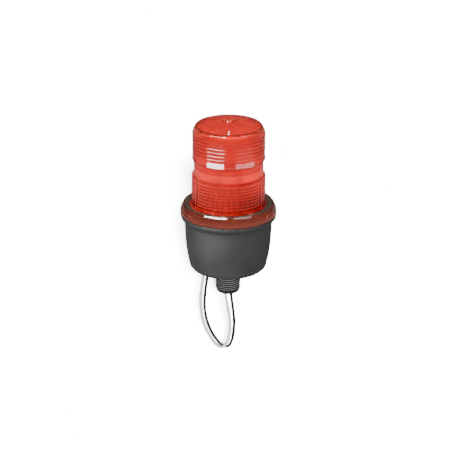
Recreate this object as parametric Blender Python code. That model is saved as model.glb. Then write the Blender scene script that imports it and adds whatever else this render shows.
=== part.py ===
"""Pipe-mounted warning light: a red screw-on dome over a plug-in flash tube, on a dark bowl
housing with a threaded pipe nipple and two supply leads.

Metres, +Z up along the light's axis. The origin is the centre of the nipple's lower end,
where the light screws onto its pipe.
"""

from math import cos, floor, pi, radians, sin

import bmesh
import bpy
from mathutils import Vector

# Clearance between pieces that touch, how round the turned pieces are, and the angle above
# which an edge stays sharp
GAP = 0.0003
FACETS = 36
SHARP_ANGLE = 35

# Pipe nipple, 1/2-14 pipe thread
PIPE_PITCH = 0.0254 / 14
PIPE_CREST = 0.01065
PIPE_ROOT = 0.0095
PIPE_TAPER = 1 / 32
PIPE_THREAD_TOP = 0.0172
NIPPLE_BORE = 0.0079
NIPPLE_NECK = 0.0099
NIPPLE_COLLAR = 0.0128
COLLAR_BOTTOM = 0.0190
NIPPLE_TOP = 0.033
WASHER_RADIUS = 0.015
WASHER_THICKNESS = 0.0016
LOCKNUT_HALF_WIDTH = 0.0135
LOCKNUT_HEIGHT = 0.004

# Housing bowl
HOUSING_BASE = 0.0219
FLOOR_TOP = 0.0245
SEAT_RADIUS = 0.0134
SEAT_DEPTH = 0.0006
LIP_TOP = 0.0720
LIP_RADIUS = 0.04075
NECK_RADIUS = 0.0364
NECK_BORE = 0.0338
NECK_TOP = 0.0769
NIPPLE_HOLE = NIPPLE_NECK + 0.0004

# Dome thread: one start, right handed
DOME_PITCH = 0.0032
THREAD_DEPTH = 0.0015
THREAD_PLAY = 0.0005

# Dome
SKIRT_BOTTOM = LIP_TOP + GAP
SKIRT_BORE = NECK_RADIUS + THREAD_DEPTH + THREAD_PLAY
PLATE_UNDERSIDE = 0.0789
PLATE_TOP = 0.0804
DOME_APEX = 0.1550

# Deck, board and what stands between them
DECK_TOP = 0.0766
DECK_THICKNESS = 0.002
DECK_RADIUS = 0.0334
BOSS_CIRCLE = 0.0294
BOSS_ANGLES = (30, 150, 270)
BOSS_RADIUS = 0.0032
BOSS_BOTTOM = 0.058
BOARD_BOTTOM = 0.0420
BOARD_THICKNESS = 0.0016
BOARD_RADIUS = 0.031
POST_CIRCLE = 0.025
POST_ANGLES = (90, 210, 330)
PILOT_RADIUS = 0.0015
SCREW_SHANK = 0.0012
BOARD_TOP = BOARD_BOTTOM + BOARD_THICKNESS

# Lamp and its socket
SOCKET_RADIUS = 0.0135
SOCKET_BOTTOM = DECK_TOP + GAP
SOCKET_TOP = 0.0849
SOCKET_NECK = 0.006
PIN_PLACES = ((-0.007, 0.0), (0.007, 0.0), (0.0, 0.007))
PIN_RADIUS = 0.0008
PIN_LENGTH = 0.0055
BASE_BOTTOM = SOCKET_TOP + GAP
BASE_TOP = 0.0892
TUBE_LEG = 0.009
TUBE_RADIUS = 0.0026
TUBE_BEND_Z = 0.105
ELECTRODE_TOP = 0.0950

# Supply leads
LEAD_RADIUS = 0.0013
TINNED_RADIUS = 0.0007
TINNED_LENGTH = 0.009
PLUG_BOTTOM = 0.0020
PLUG_TOP = 0.0080
WHITE_ROUTE = (
    (-0.0023, 0.0, 0.0017), (-0.0021, 0.0, -0.0040), (-0.0001, 0.0006, -0.0165),
    (0.0017, 0.0016, -0.0297), (0.0014, 0.0042, -0.0438), (-0.0012, 0.0078, -0.0546),
    (-0.0048, 0.0115, -0.0600), (-0.0095, 0.0155, -0.0602), (-0.0172, 0.0206, -0.0509),
    (-0.0220, 0.0240, -0.0402), (-0.0237, 0.0262, -0.0282), (-0.0240, 0.0274, -0.0190),
    (-0.0230, 0.0284, -0.0097), (-0.0218, 0.0292, -0.0004), (-0.0210, 0.0298, 0.0100),
    (-0.0208, 0.0301, 0.0190), (-0.0208, 0.0305, 0.0270),
)
BLACK_ROUTE = (
    (0.0023, 0.0, 0.0017), (0.0026, 0.0001, -0.0040), (0.0034, 0.0004, -0.0100),
    (0.0046, 0.0010, -0.0198), (0.0055, 0.0026, -0.0302), (0.0049, 0.0065, -0.0436),
    (0.0034, 0.0106, -0.0534), (-0.0001, 0.0150, -0.0610), (-0.0048, 0.0183, -0.0614),
    (-0.0096, 0.0213, -0.0578), (-0.0149, 0.0242, -0.0500), (-0.0188, 0.0267, -0.0401),
    (-0.0204, 0.0282, -0.0310), (-0.0206, 0.0293, -0.0230), (-0.0198, 0.0302, -0.0137),
    (-0.0183, 0.0311, -0.0014), (-0.0172, 0.0318, 0.0100), (-0.0166, 0.0323, 0.0190),
    (-0.0164, 0.0329, 0.0270),
)


# ---------------------------------------------------------------- helpers

def clear_scene():
    for thing in list(bpy.data.objects):
        bpy.data.objects.remove(thing, do_unlink=True)


def material(name, colour, roughness, metallic=0.0, transmission=0.0):
    finish = bpy.data.materials.new(name)
    finish.use_nodes = True
    shader = finish.node_tree.nodes["Principled BSDF"]
    shader.inputs["Base Color"].default_value = (*colour, 1.0)
    shader.inputs["Roughness"].default_value = roughness
    shader.inputs["Metallic"].default_value = metallic
    shader.inputs["Transmission Weight"].default_value = transmission
    finish.diffuse_color = (*colour, 1.0)
    return finish


def place(name, mesh, finish, location=(0, 0, 0), parent=None):
    """Add an object with its own finish, set at a place."""
    piece = bpy.data.objects.new(name, mesh)
    bpy.context.scene.collection.objects.link(piece)
    piece.location = location
    if finish and not mesh.materials:
        mesh.materials.append(finish)
    if parent:
        piece.parent = parent
        piece.matrix_parent_inverse = parent.matrix_basis.inverted()
    return piece


def mesh_from(bm, name):
    """Finish a bmesh: merge seams, point the faces out, and shade it smooth."""
    bmesh.ops.remove_doubles(bm, verts=bm.verts, dist=1e-6)
    bmesh.ops.dissolve_degenerate(bm, dist=1e-7, edges=bm.edges)
    bmesh.ops.recalc_face_normals(bm, faces=bm.faces)
    mesh = bpy.data.meshes.new(name)
    bm.to_mesh(mesh)
    bm.free()
    mesh.shade_smooth()
    mesh.set_sharp_from_angle(angle=radians(SHARP_ANGLE))
    return mesh


def guide(name, mesh):
    """An object that only shapes others: drawn as wire and left out of the model."""
    tool = place(name, mesh, None)
    tool.hide_render = True
    tool.display_type = "WIRE"
    return tool


def join_with(piece, tool, operation):
    shaping = piece.modifiers.new(operation.title(), "BOOLEAN")
    shaping.operation = operation
    shaping.object = tool
    shaping.solver = "EXACT"


def turned(outline, steps=FACETS, bm=None, centre=(0, 0)):
    """Spin an outline of (radius, height) points about a vertical axis."""
    bm = bm or bmesh.new()
    closed = outline[0][0] > 0 or outline[-1][0] > 0
    corners = [bm.verts.new((centre[0] + r, centre[1], z)) for r, z in outline]
    pairs = list(zip(corners, corners[1:]))
    if closed:
        pairs.append((corners[-1], corners[0]))
    edges = [bm.edges.new(pair) for pair in pairs]
    bmesh.ops.spin(
        bm, geom=corners + edges, cent=(*centre, 0), axis=(0, 0, 1),
        angle=2 * pi, steps=steps, use_merge=True,
    )
    return bm


def wound(column, steps, closed):
    """Skin a round piece whose outline climbs as it turns, as a thread's does.

    column(share) gives the outline's (radius, height) points after that share of a turn.
    """
    bm = bmesh.new()
    last = None
    for step in range(steps + 1):
        share = step / steps
        angle = 2 * pi * share
        points = [(r * cos(angle), r * sin(angle), z) for r, z in column(share)]
        ring = [bm.verts.new(point) for point in points]
        if last:
            count = len(ring)
            for i in range(count if closed else count - 1):
                j = (i + 1) % count
                bm.faces.new((last[i], last[j], ring[j], ring[i]))
        last = ring
    return bm


def thread_points(share, low, high, pitch, shape, end_radius, datum=0.0):
    """One column of a right-hand thread between two heights.

    shape lists (share of the pitch, radius) once round the thread's form, and two threads
    with the same datum and pitch stay in step with each other.
    """
    points = []
    turn = floor((low - datum) / pitch) - 2
    while datum + (turn - 1) * pitch < high:
        for along, radius in shape:
            z = datum + (turn + along + share) * pitch
            size = radius(z) if callable(radius) else radius
            inside = low < z < high
            points.append((size if inside else end_radius, min(max(z, low), high)))
        turn += 1
    return points


def arc(centre, radius, start, end, count):
    """Points on an arc in the (radius, height) plane, angles in degrees."""
    points = []
    for i in range(count):
        angle = radians(start + (end - start) * i / (count - 1))
        points.append((centre[0] + radius * cos(angle), centre[1] + radius * sin(angle)))
    return points


def around(radius, angle):
    return radius * cos(radians(angle)), radius * sin(radians(angle))


def cylinder(bm, radius, low, high, centre=(0, 0), steps=12):
    made = bmesh.ops.create_cone(
        bm, cap_ends=True, segments=steps, radius1=radius, radius2=radius, depth=high - low,
    )
    bmesh.ops.translate(bm, verts=made["verts"], vec=(*centre, (low + high) / 2))


def block_mesh(name, size, edge=0.0004):
    """A box with its base at z = 0 and rounded edges."""
    bm = bmesh.new()
    bmesh.ops.create_cube(bm, size=1)
    bmesh.ops.scale(bm, verts=bm.verts, vec=size)
    bmesh.ops.translate(bm, verts=bm.verts, vec=(0, 0, size[2] / 2))
    bmesh.ops.bevel(bm, geom=bm.edges[:], offset=edge, segments=1, profile=0.5,
                    affect="EDGES", material=-1)
    return mesh_from(bm, name)


def smooth_route(points, spacing):
    """Even steps along one smooth curve through hand-placed points."""
    knots = [Vector(p) for p in points]
    knots = [2 * knots[0] - knots[1]] + knots + [2 * knots[-1] - knots[-2]]
    fine = []
    for a, b, c, d in zip(knots, knots[1:], knots[2:], knots[3:]):
        for i in range(24):
            t = i / 24
            fine.append(0.5 * (2 * b + (c - a) * t + (2 * a - 5 * b + 4 * c - d) * t * t
                               + (3 * b - a - 3 * c + d) * t ** 3))
    fine.append(knots[-2])
    total = sum((q - p).length for p, q in zip(fine, fine[1:]))
    count = max(2, round(total / spacing))
    step = total / count
    even, walked = [fine[0]], 0.0
    for p, q in zip(fine, fine[1:]):
        walked += (q - p).length
        if walked >= step * len(even) and len(even) < count:
            even.append(q)
    even.append(fine[-1])
    return even


def strand(name, points, radius, finish, parent=None, widths=None, resolution=2):
    """A tube with capped ends along a line of points; widths scale it point by point."""
    curve = bpy.data.curves.new(name, "CURVE")
    curve.dimensions = "3D"
    curve.bevel_depth = radius
    curve.bevel_resolution = resolution
    curve.resolution_u = 1
    curve.render_resolution_u = 0
    curve.use_fill_caps = True
    spline = curve.splines.new("POLY")
    spline.points.add(len(points) - 1)
    for i, point in enumerate(points):
        spline.points[i].co = (*point, 1)
        if widths:
            spline.points[i].radius = widths[i]
    return place(name, curve, finish, parent=parent)


def motion_axis(name, height):
    """An empty on the light's axis that carries the pieces of one moving body."""
    axis = bpy.data.objects.new(name, None)
    bpy.context.scene.collection.objects.link(axis)
    axis.location.z = height
    axis.empty_display_size = 0.01
    return axis


# ---------------------------------------------------------------- nipple and its fixings

def make_nipple(finish):
    form = (
        (0.00, PIPE_ROOT), (0.14, PIPE_ROOT),
        (0.50, lambda z: min(PIPE_CREST, PIPE_CREST - 0.0002 + z * PIPE_TAPER)),
        (0.64, lambda z: min(PIPE_CREST, PIPE_CREST - 0.0002 + z * PIPE_TAPER)),
    )

    collar_top = HOUSING_BASE + SEAT_DEPTH - GAP

    def column(share):
        thread = thread_points(share, 0.0012, PIPE_THREAD_TOP, PIPE_PITCH, form, PIPE_ROOT)
        return (
            [(NIPPLE_BORE, 0.0), (0.0091, 0.0)] + thread
            + [(PIPE_CREST, 0.0176), (PIPE_CREST, COLLAR_BOTTOM), (NIPPLE_COLLAR, COLLAR_BOTTOM),
               (NIPPLE_COLLAR, collar_top), (NIPPLE_NECK, collar_top),
               (NIPPLE_NECK, NIPPLE_TOP), (NIPPLE_BORE, NIPPLE_TOP)]
        )

    mesh = mesh_from(wound(column, 16, closed=True), "pipe_nipple")
    place("pipe_nipple", mesh, finish)


def make_nipple_washer(finish):
    low = FLOOR_TOP + GAP
    high = low + WASHER_THICKNESS
    outline = [(NIPPLE_HOLE, low), (WASHER_RADIUS, low), (WASHER_RADIUS, high),
               (NIPPLE_HOLE, high)]
    place("nipple_washer", mesh_from(turned(outline, 24), "nipple_washer"), finish)


def make_nipple_locknut(finish):
    low = FLOOR_TOP + GAP + WASHER_THICKNESS + GAP
    high = low + LOCKNUT_HEIGHT
    bm = bmesh.new()
    cylinder(bm, LOCKNUT_HALF_WIDTH / cos(pi / 6), low, high, steps=6)
    nut = place("nipple_locknut", mesh_from(bm, "nipple_locknut"), finish)
    hole = bmesh.new()
    cylinder(hole, NIPPLE_HOLE, low - 0.001, high + 0.001, steps=24)
    join_with(nut, guide("locknut_bore", mesh_from(hole, "locknut_bore")), "DIFFERENCE")


# ---------------------------------------------------------------- housing

def make_housing(finish):
    neck_form = (
        (0.00, NECK_RADIUS), (0.52, NECK_RADIUS),
        (0.62, NECK_RADIUS + THREAD_DEPTH), (0.90, NECK_RADIUS + THREAD_DEPTH),
    )
    seat = [(NIPPLE_HOLE, HOUSING_BASE + SEAT_DEPTH), (SEAT_RADIUS, HOUSING_BASE + SEAT_DEPTH),
            (SEAT_RADIUS, HOUSING_BASE)]
    base_curve = arc((0.0271, 0.0280), 0.0061, -90, 0, 5)
    lip_curve = arc((0.03610, 0.0716), 0.00465, -62, 0, 4)
    wall = [(0.0346, 0.0340), (0.0356, 0.0400), (0.0362, 0.0450), (0.0367, 0.0540),
            (0.0370, 0.0640), (0.0374, 0.0668)]
    inside = [(NECK_BORE, NECK_TOP), (NECK_BORE, 0.0660), (0.0342, 0.0620), (0.0334, 0.0450),
              (0.0320, 0.0360), (0.0304, 0.0288), (0.0286, 0.0256), (0.0266, FLOOR_TOP)]

    def column(share):
        thread = thread_points(share, LIP_TOP, NECK_TOP, DOME_PITCH, neck_form, NECK_RADIUS,
                               LIP_TOP)
        return (seat + base_curve + wall + lip_curve
                + [(LIP_RADIUS, LIP_TOP)] + thread + inside + [(NIPPLE_HOLE, FLOOR_TOP)])

    housing = place("housing", mesh_from(wound(column, FACETS, closed=True), "housing"), finish)
    join_with(housing, guide("housing_bosses", boss_shapes()), "UNION")
    join_with(housing, guide("housing_pilots", pilot_shapes()), "DIFFERENCE")


def boss_shapes():
    """Board posts on the floor and deck bosses on the wall, each sunk into the shell."""
    bm = bmesh.new()
    for angle in POST_ANGLES:
        cylinder(bm, BOSS_RADIUS, FLOOR_TOP - 0.001, BOARD_BOTTOM - GAP,
                 around(POST_CIRCLE, angle))
    for angle in BOSS_ANGLES:
        x, y = around(1, angle)
        rim = []
        for i in range(7):
            side = radians(angle + 90 + 30 * i)
            rim.append((BOSS_CIRCLE * x + BOSS_RADIUS * cos(side),
                        BOSS_CIRCLE * y + BOSS_RADIUS * sin(side)))
        for side in (1, -1):
            rim.insert(0 if side > 0 else len(rim),
                       (0.0350 * x - side * BOSS_RADIUS * y, 0.0350 * y + side * BOSS_RADIUS * x))
        floor = bm.faces.new([bm.verts.new((px, py, BOSS_BOTTOM)) for px, py in rim])
        rise = bmesh.ops.extrude_face_region(bm, geom=[floor])
        top = [v for v in rise["geom"] if isinstance(v, bmesh.types.BMVert)]
        height = DECK_TOP - DECK_THICKNESS - GAP - BOSS_BOTTOM
        bmesh.ops.translate(bm, verts=top, vec=(0, 0, height))
    return mesh_from(bm, "housing_bosses")


def pilot_shapes():
    """Screw holes down the posts and the bosses."""
    bm = bmesh.new()
    for angle in POST_ANGLES:
        cylinder(bm, PILOT_RADIUS, BOARD_BOTTOM - 0.0095, BOARD_BOTTOM + 0.001,
                 around(POST_CIRCLE, angle), 10)
    for angle in BOSS_ANGLES:
        cylinder(bm, PILOT_RADIUS, DECK_TOP - 0.0125, DECK_TOP,
                 around(BOSS_CIRCLE, angle), 10)
    return mesh_from(bm, "housing_pilots")


# ---------------------------------------------------------------- dome

def make_dome(finish, parent):
    crest = SKIRT_BORE - THREAD_DEPTH
    skirt_form = (
        (0.02, SKIRT_BORE), (0.12, crest), (0.40, crest), (0.50, SKIRT_BORE),
    )
    outside = (
        [(0.0, DOME_APEX), (0.0058, 0.15485), (0.0064, 0.15445), (0.0140, 0.15355),
         (0.0210, 0.1522), (0.0260, 0.1508), (0.0276, 0.1499), (0.0280, 0.1488),
         (0.0295, 0.1474), (0.0303, 0.1456), (0.0305, 0.1435), (0.03075, 0.1232),
         (0.0304, 0.1209), (0.0292, 0.1192), (0.02935, 0.1076), (0.0308, 0.1060),
         (0.0311, 0.1042), (0.0313, 0.0830), (0.0319, 0.0812), (0.0338, PLATE_TOP),
         (0.0369, PLATE_TOP), (0.0374, 0.0812)]
        + arc((0.0380, 0.0789), 0.00275, 100, 0, 5)
        + [(LIP_RADIUS, SKIRT_BOTTOM + 0.0006), (LIP_RADIUS - 0.0006, SKIRT_BOTTOM),
           (SKIRT_BORE, SKIRT_BOTTOM)]
    )
    inside = [(SKIRT_BORE, PLATE_UNDERSIDE), (0.0290, PLATE_UNDERSIDE), (0.0291, 0.0830),
              (0.0289, 0.1040), (0.0273, 0.1070), (0.0272, 0.1196), (0.0285, 0.1222),
              (0.0282, 0.1435), (0.0269, 0.1467), (0.0250, 0.1484), (0.0200, 0.1500),
              (0.0120, 0.1515), (0.0, 0.1524)]

    def column(share):
        thread = thread_points(share, SKIRT_BOTTOM + GAP, PLATE_UNDERSIDE - 0.0009,
                               DOME_PITCH, skirt_form, SKIRT_BORE, LIP_TOP)
        return outside + thread + inside

    mesh = mesh_from(wound(column, FACETS, closed=False), "dome_lens")
    place("dome_lens", mesh, finish, parent=parent)


def make_dome_gasket(finish, parent):
    """Flattened ring between the neck's rim and the dome's plate."""
    low, high = NECK_TOP + GAP, PLATE_UNDERSIDE - GAP
    middle = (low + high) / 2
    half = (high - low) / 2
    outline = [(0.0350 + 1.5 * half * cos(a), middle + half * sin(a))
               for a in (i * pi / 3 for i in range(6))]
    place("dome_gasket", mesh_from(turned(outline), "dome_gasket"), finish, parent=parent)


# ---------------------------------------------------------------- deck and lamp

def make_deck(finish):
    low = DECK_TOP - DECK_THICKNESS
    outline = [(SOCKET_NECK + 0.0005, low), (DECK_RADIUS, low), (DECK_RADIUS, DECK_TOP),
               (SOCKET_NECK + 0.0005, DECK_TOP)]
    deck = place("lamp_deck", mesh_from(turned(outline), "lamp_deck"), finish)
    holes = bmesh.new()
    for angle in BOSS_ANGLES:
        spot = around(BOSS_CIRCLE, angle)
        turned([(0, low - 0.001), (0.0016, low - 0.001), (0.0016, DECK_TOP - 0.0012),
                (0.0031, DECK_TOP + 0.0003), (0, DECK_TOP + 0.0003)], 12, holes, spot)
    join_with(deck, guide("deck_holes", mesh_from(holes, "deck_holes")), "DIFFERENCE")


def make_deck_screws(finish):
    outline = [(0, -0.0110), (SCREW_SHANK, -0.0106), (SCREW_SHANK, -0.0013), (0.0025, 0.0),
               (0, 0.0)]
    mesh = mesh_from(turned(outline, 12), "deck_screw")
    for i, angle in enumerate(BOSS_ANGLES, 1):
        place(f"deck_screw_{i}", mesh, finish, (*around(BOSS_CIRCLE, angle), DECK_TOP))


def make_socket(finish):
    outline = [(0, 0.0735), (SOCKET_NECK, 0.0735), (SOCKET_NECK, SOCKET_BOTTOM),
               (SOCKET_RADIUS, SOCKET_BOTTOM), (SOCKET_RADIUS, SOCKET_TOP - 0.0006),
               (SOCKET_RADIUS - 0.0006, SOCKET_TOP), (0, SOCKET_TOP)]
    socket = place("lamp_socket", mesh_from(turned(outline, 32), "lamp_socket"), finish)
    holes = bmesh.new()
    for spot in PIN_PLACES:
        cylinder(holes, PIN_RADIUS + 0.0004, SOCKET_TOP - PIN_LENGTH - 0.0008,
                 SOCKET_TOP + 0.001, spot, 10)
    join_with(socket, guide("socket_holes", mesh_from(holes, "socket_holes")), "DIFFERENCE")


def make_lamp_base(finish, parent):
    outline = [(0, BASE_BOTTOM), (0.0130, BASE_BOTTOM), (0.0130, BASE_TOP - 0.0006),
               (0.0124, BASE_TOP), (0, BASE_TOP)]
    base = place("lamp_base", mesh_from(turned(outline, 32), "lamp_base"), finish, parent=parent)
    pins = bmesh.new()
    for spot in PIN_PLACES:
        cylinder(pins, PIN_RADIUS, BASE_BOTTOM - PIN_LENGTH, BASE_BOTTOM + 0.001, spot, 10)
    join_with(base, guide("lamp_pins", mesh_from(pins, "lamp_pins")), "UNION")


def make_flash_tube(glass, metal, wire, parent):
    for name, side in (("tube_anode", -1), ("tube_cathode", 1)):
        outline = [(0, BASE_TOP + GAP), (0.0024, BASE_TOP + GAP), (0.0024, ELECTRODE_TOP - 0.0004),
                   (0.0020, ELECTRODE_TOP), (0, ELECTRODE_TOP)]
        mesh = mesh_from(turned(outline, 12), name)
        place(name, mesh, metal, (side * TUBE_LEG, 0, 0), parent=parent)
    foot = ELECTRODE_TOP + GAP
    bend = [(TUBE_LEG * -cos(radians(a)), 0, TUBE_BEND_Z + TUBE_LEG * sin(radians(a)))
            for a in range(0, 181, 15)]
    path = [(-TUBE_LEG, 0, foot)] + bend + [(TUBE_LEG, 0, foot)]
    strand("flash_tube", path, TUBE_RADIUS, glass, parent, resolution=4)
    strand("trigger_wire", trigger_turns(), 0.00035, wire, parent, resolution=0)


def trigger_turns():
    """A wire that winds up one leg of the tube, over its bend and down the other."""
    straight = TUBE_BEND_Z - 0.0965
    length = 2 * straight + pi * TUBE_LEG
    turns, per_turn = 7, 8
    offset = TUBE_RADIUS + GAP + 0.00035
    points = []
    for i in range(turns * per_turn + 1):
        s = length * i / (turns * per_turn)
        if s < straight:
            centre, out = Vector((-TUBE_LEG, 0, 0.0965 + s)), Vector((-1, 0, 0))
        elif s < length - straight:
            a = (s - straight) / TUBE_LEG
            out = Vector((-cos(a), 0, sin(a)))
            centre = Vector((0, 0, TUBE_BEND_Z)) + TUBE_LEG * out
        else:
            centre = Vector((TUBE_LEG, 0, 0.0965 + length - s))
            out = Vector((1, 0, 0))
        twist = 2 * pi * i / per_turn
        points.append(centre + offset / cos(pi / per_turn)
                      * (out * cos(twist) + Vector((0, 1, 0)) * sin(twist)))
    return points


# ---------------------------------------------------------------- circuit board

def make_board(finish):
    outline = [(0.0060, BOARD_BOTTOM), (BOARD_RADIUS, BOARD_BOTTOM), (BOARD_RADIUS, BOARD_TOP),
               (0.0060, BOARD_TOP)]
    board = place("circuit_board", mesh_from(turned(outline, 40), "circuit_board"), finish)
    holes = bmesh.new()
    for angle in POST_ANGLES:
        cylinder(holes, 0.0016, BOARD_BOTTOM - 0.001, BOARD_TOP + 0.001,
                 around(POST_CIRCLE, angle), 10)
    join_with(board, guide("board_holes", mesh_from(holes, "board_holes")), "DIFFERENCE")


def make_board_screws(finish):
    outline = [(0, -0.0082), (SCREW_SHANK, -0.0078), (SCREW_SHANK, GAP), (0.0027, GAP),
               (0.0027, 0.0014), (0.0019, 0.0020), (0, 0.0020)]
    mesh = mesh_from(turned(outline, 12), "board_screw")
    for i, angle in enumerate(POST_ANGLES, 1):
        place(f"board_screw_{i}", mesh, finish, (*around(POST_CIRCLE, angle), BOARD_TOP))


def make_transformer(core_finish, winding_finish):
    """A ferrite core with two windows, and the coil round its middle limb."""
    centre = (0.0165, 0.003, BOARD_TOP + GAP)
    core = place("transformer_core", block_mesh("transformer_core", (0.020, 0.005, 0.017)),
                 core_finish, centre)
    windows = bmesh.new()
    for side in (-1, 1):
        made = bmesh.ops.create_cube(windows, size=1)["verts"]
        bmesh.ops.scale(windows, verts=made, vec=(0.0055, 0.02, 0.011))
        bmesh.ops.translate(windows, verts=made, vec=(centre[0] + side * 0.00525, centre[1],
                                                      centre[2] + 0.0085))
    join_with(core, guide("core_windows", mesh_from(windows, "core_windows")), "DIFFERENCE")
    coil = place("transformer_winding", block_mesh("transformer_winding",
                                                   (0.0150, 0.0125, 0.0102), 0.0012),
                 winding_finish, (centre[0], centre[1], centre[2] + 0.0034))
    limb = bmesh.new()
    bmesh.ops.create_cube(limb, size=1)
    bmesh.ops.scale(limb, verts=limb.verts, vec=(0.0057, 0.0057, 0.03))
    bmesh.ops.translate(limb, verts=limb.verts, vec=(centre[0], centre[1], centre[2]))
    join_with(coil, guide("winding_bore", mesh_from(limb, "winding_bore")), "DIFFERENCE")


def make_can(name, radius, height, spot, finish, steps=20):
    """An upright round component with softened rims."""
    edge = radius * 0.12
    outline = [(0, 0), (radius - edge, 0), (radius, edge), (radius, height - edge),
               (radius - edge, height), (0, height)]
    place(name, mesh_from(turned(outline, steps), name), finish, (*spot, BOARD_TOP + GAP))


def make_axial(name, spot, length, radius, finish):
    """A component lying on bent leads, such as a resistor or a diode."""
    x, y = spot
    low, high = BOARD_TOP + GAP, BOARD_TOP + 0.0028
    half, body = length / 2, length * 0.3
    thin = 0.25
    route = [(x - half, y, low), (x - half, y, high - 0.0004), (x - half + 0.0004, y, high),
             (x - body, y, high), (x - body + 0.0002, y, high), (x + body - 0.0002, y, high),
             (x + body, y, high), (x + half - 0.0004, y, high), (x + half, y, high - 0.0004),
             (x + half, y, low)]
    widths = [thin] * 4 + [1, 1] + [thin] * 4
    strand(name, route, radius, finish, widths=widths, resolution=1)


def make_transistor(finish):
    """A flat-backed power transistor standing on its short side."""
    outline = [(0, 0), (0.0045, 0), (0.0045, 0.0090), (0.0014, 0.0092), (0.0014, 0.0155),
               (0, 0.0155)]
    bm = bmesh.new()
    face = bm.faces.new([bm.verts.new((-0.005, y, z)) for y, z in outline])
    pull = bmesh.ops.extrude_face_region(bm, geom=[face])
    far = [v for v in pull["geom"] if isinstance(v, bmesh.types.BMVert)]
    bmesh.ops.translate(bm, verts=far, vec=(0.010, 0, 0))
    place("power_transistor", mesh_from(bm, "power_transistor"), finish,
          (0.011, 0.0157, BOARD_TOP + GAP))


# ---------------------------------------------------------------- wiring

def make_lamp_wires(finishes):
    socket_underside = 0.0735 - GAP
    start = BOARD_TOP + GAP
    coil_top = start + 0.011 + GAP
    routes = {
        "anode_wire": [(-0.0075, 0.0, start), (-0.0075, 0.0, 0.054), (-0.0035, 0.0, 0.064),
                       (-0.003, 0.0, socket_underside)],
        "cathode_wire": [(0.0078, -0.0060, start), (0.0078, -0.0060, 0.052),
                         (0.0035, -0.0020, 0.064), (0.003, 0.0, socket_underside)],
        "trigger_lead": [(0.011, -0.015, coil_top), (0.0105, -0.0145, 0.060),
                         (0.002, -0.0050, 0.067), (0.0, -0.0035, socket_underside)],
    }
    for name, route in routes.items():
        strand(name, smooth_route(route, 0.002), 0.0006, finishes[name], resolution=1)


def make_leads(white, black, tinned):
    for name, route, finish in (("lead_white", WHITE_ROUTE, white),
                                ("lead_black", BLACK_ROUTE, black)):
        points = smooth_route(route, 0.0033)
        strand(name, points, LEAD_RADIUS, finish)
        heading = (points[-1] - points[-2]).normalized()
        start = points[-1] + heading * GAP
        tip = [start, start + heading * TINNED_LENGTH / 2, start + heading * TINNED_LENGTH]
        strand(name + "_tip", tip, TINNED_RADIUS, tinned)
    for name, x, finish in (("inner_lead_white", -0.0023, white),
                            ("inner_lead_black", 0.0023, black)):
        route = [(x, 0, PLUG_TOP + GAP), (x, 0, 0.022), (x, 0, 0.038), (x, -0.0010, 0.0450),
                 (x, -0.0050, 0.0490), (x, -0.0127, 0.0485)]
        strand(name, smooth_route(route, 0.004), LEAD_RADIUS, finish)


def make_lead_plug(finish):
    radius = NIPPLE_BORE - GAP
    outline = [(0, PLUG_BOTTOM), (radius, PLUG_BOTTOM), (radius, PLUG_TOP), (0, PLUG_TOP)]
    place("lead_plug", mesh_from(turned(outline, 24), "lead_plug"), finish)


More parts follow.
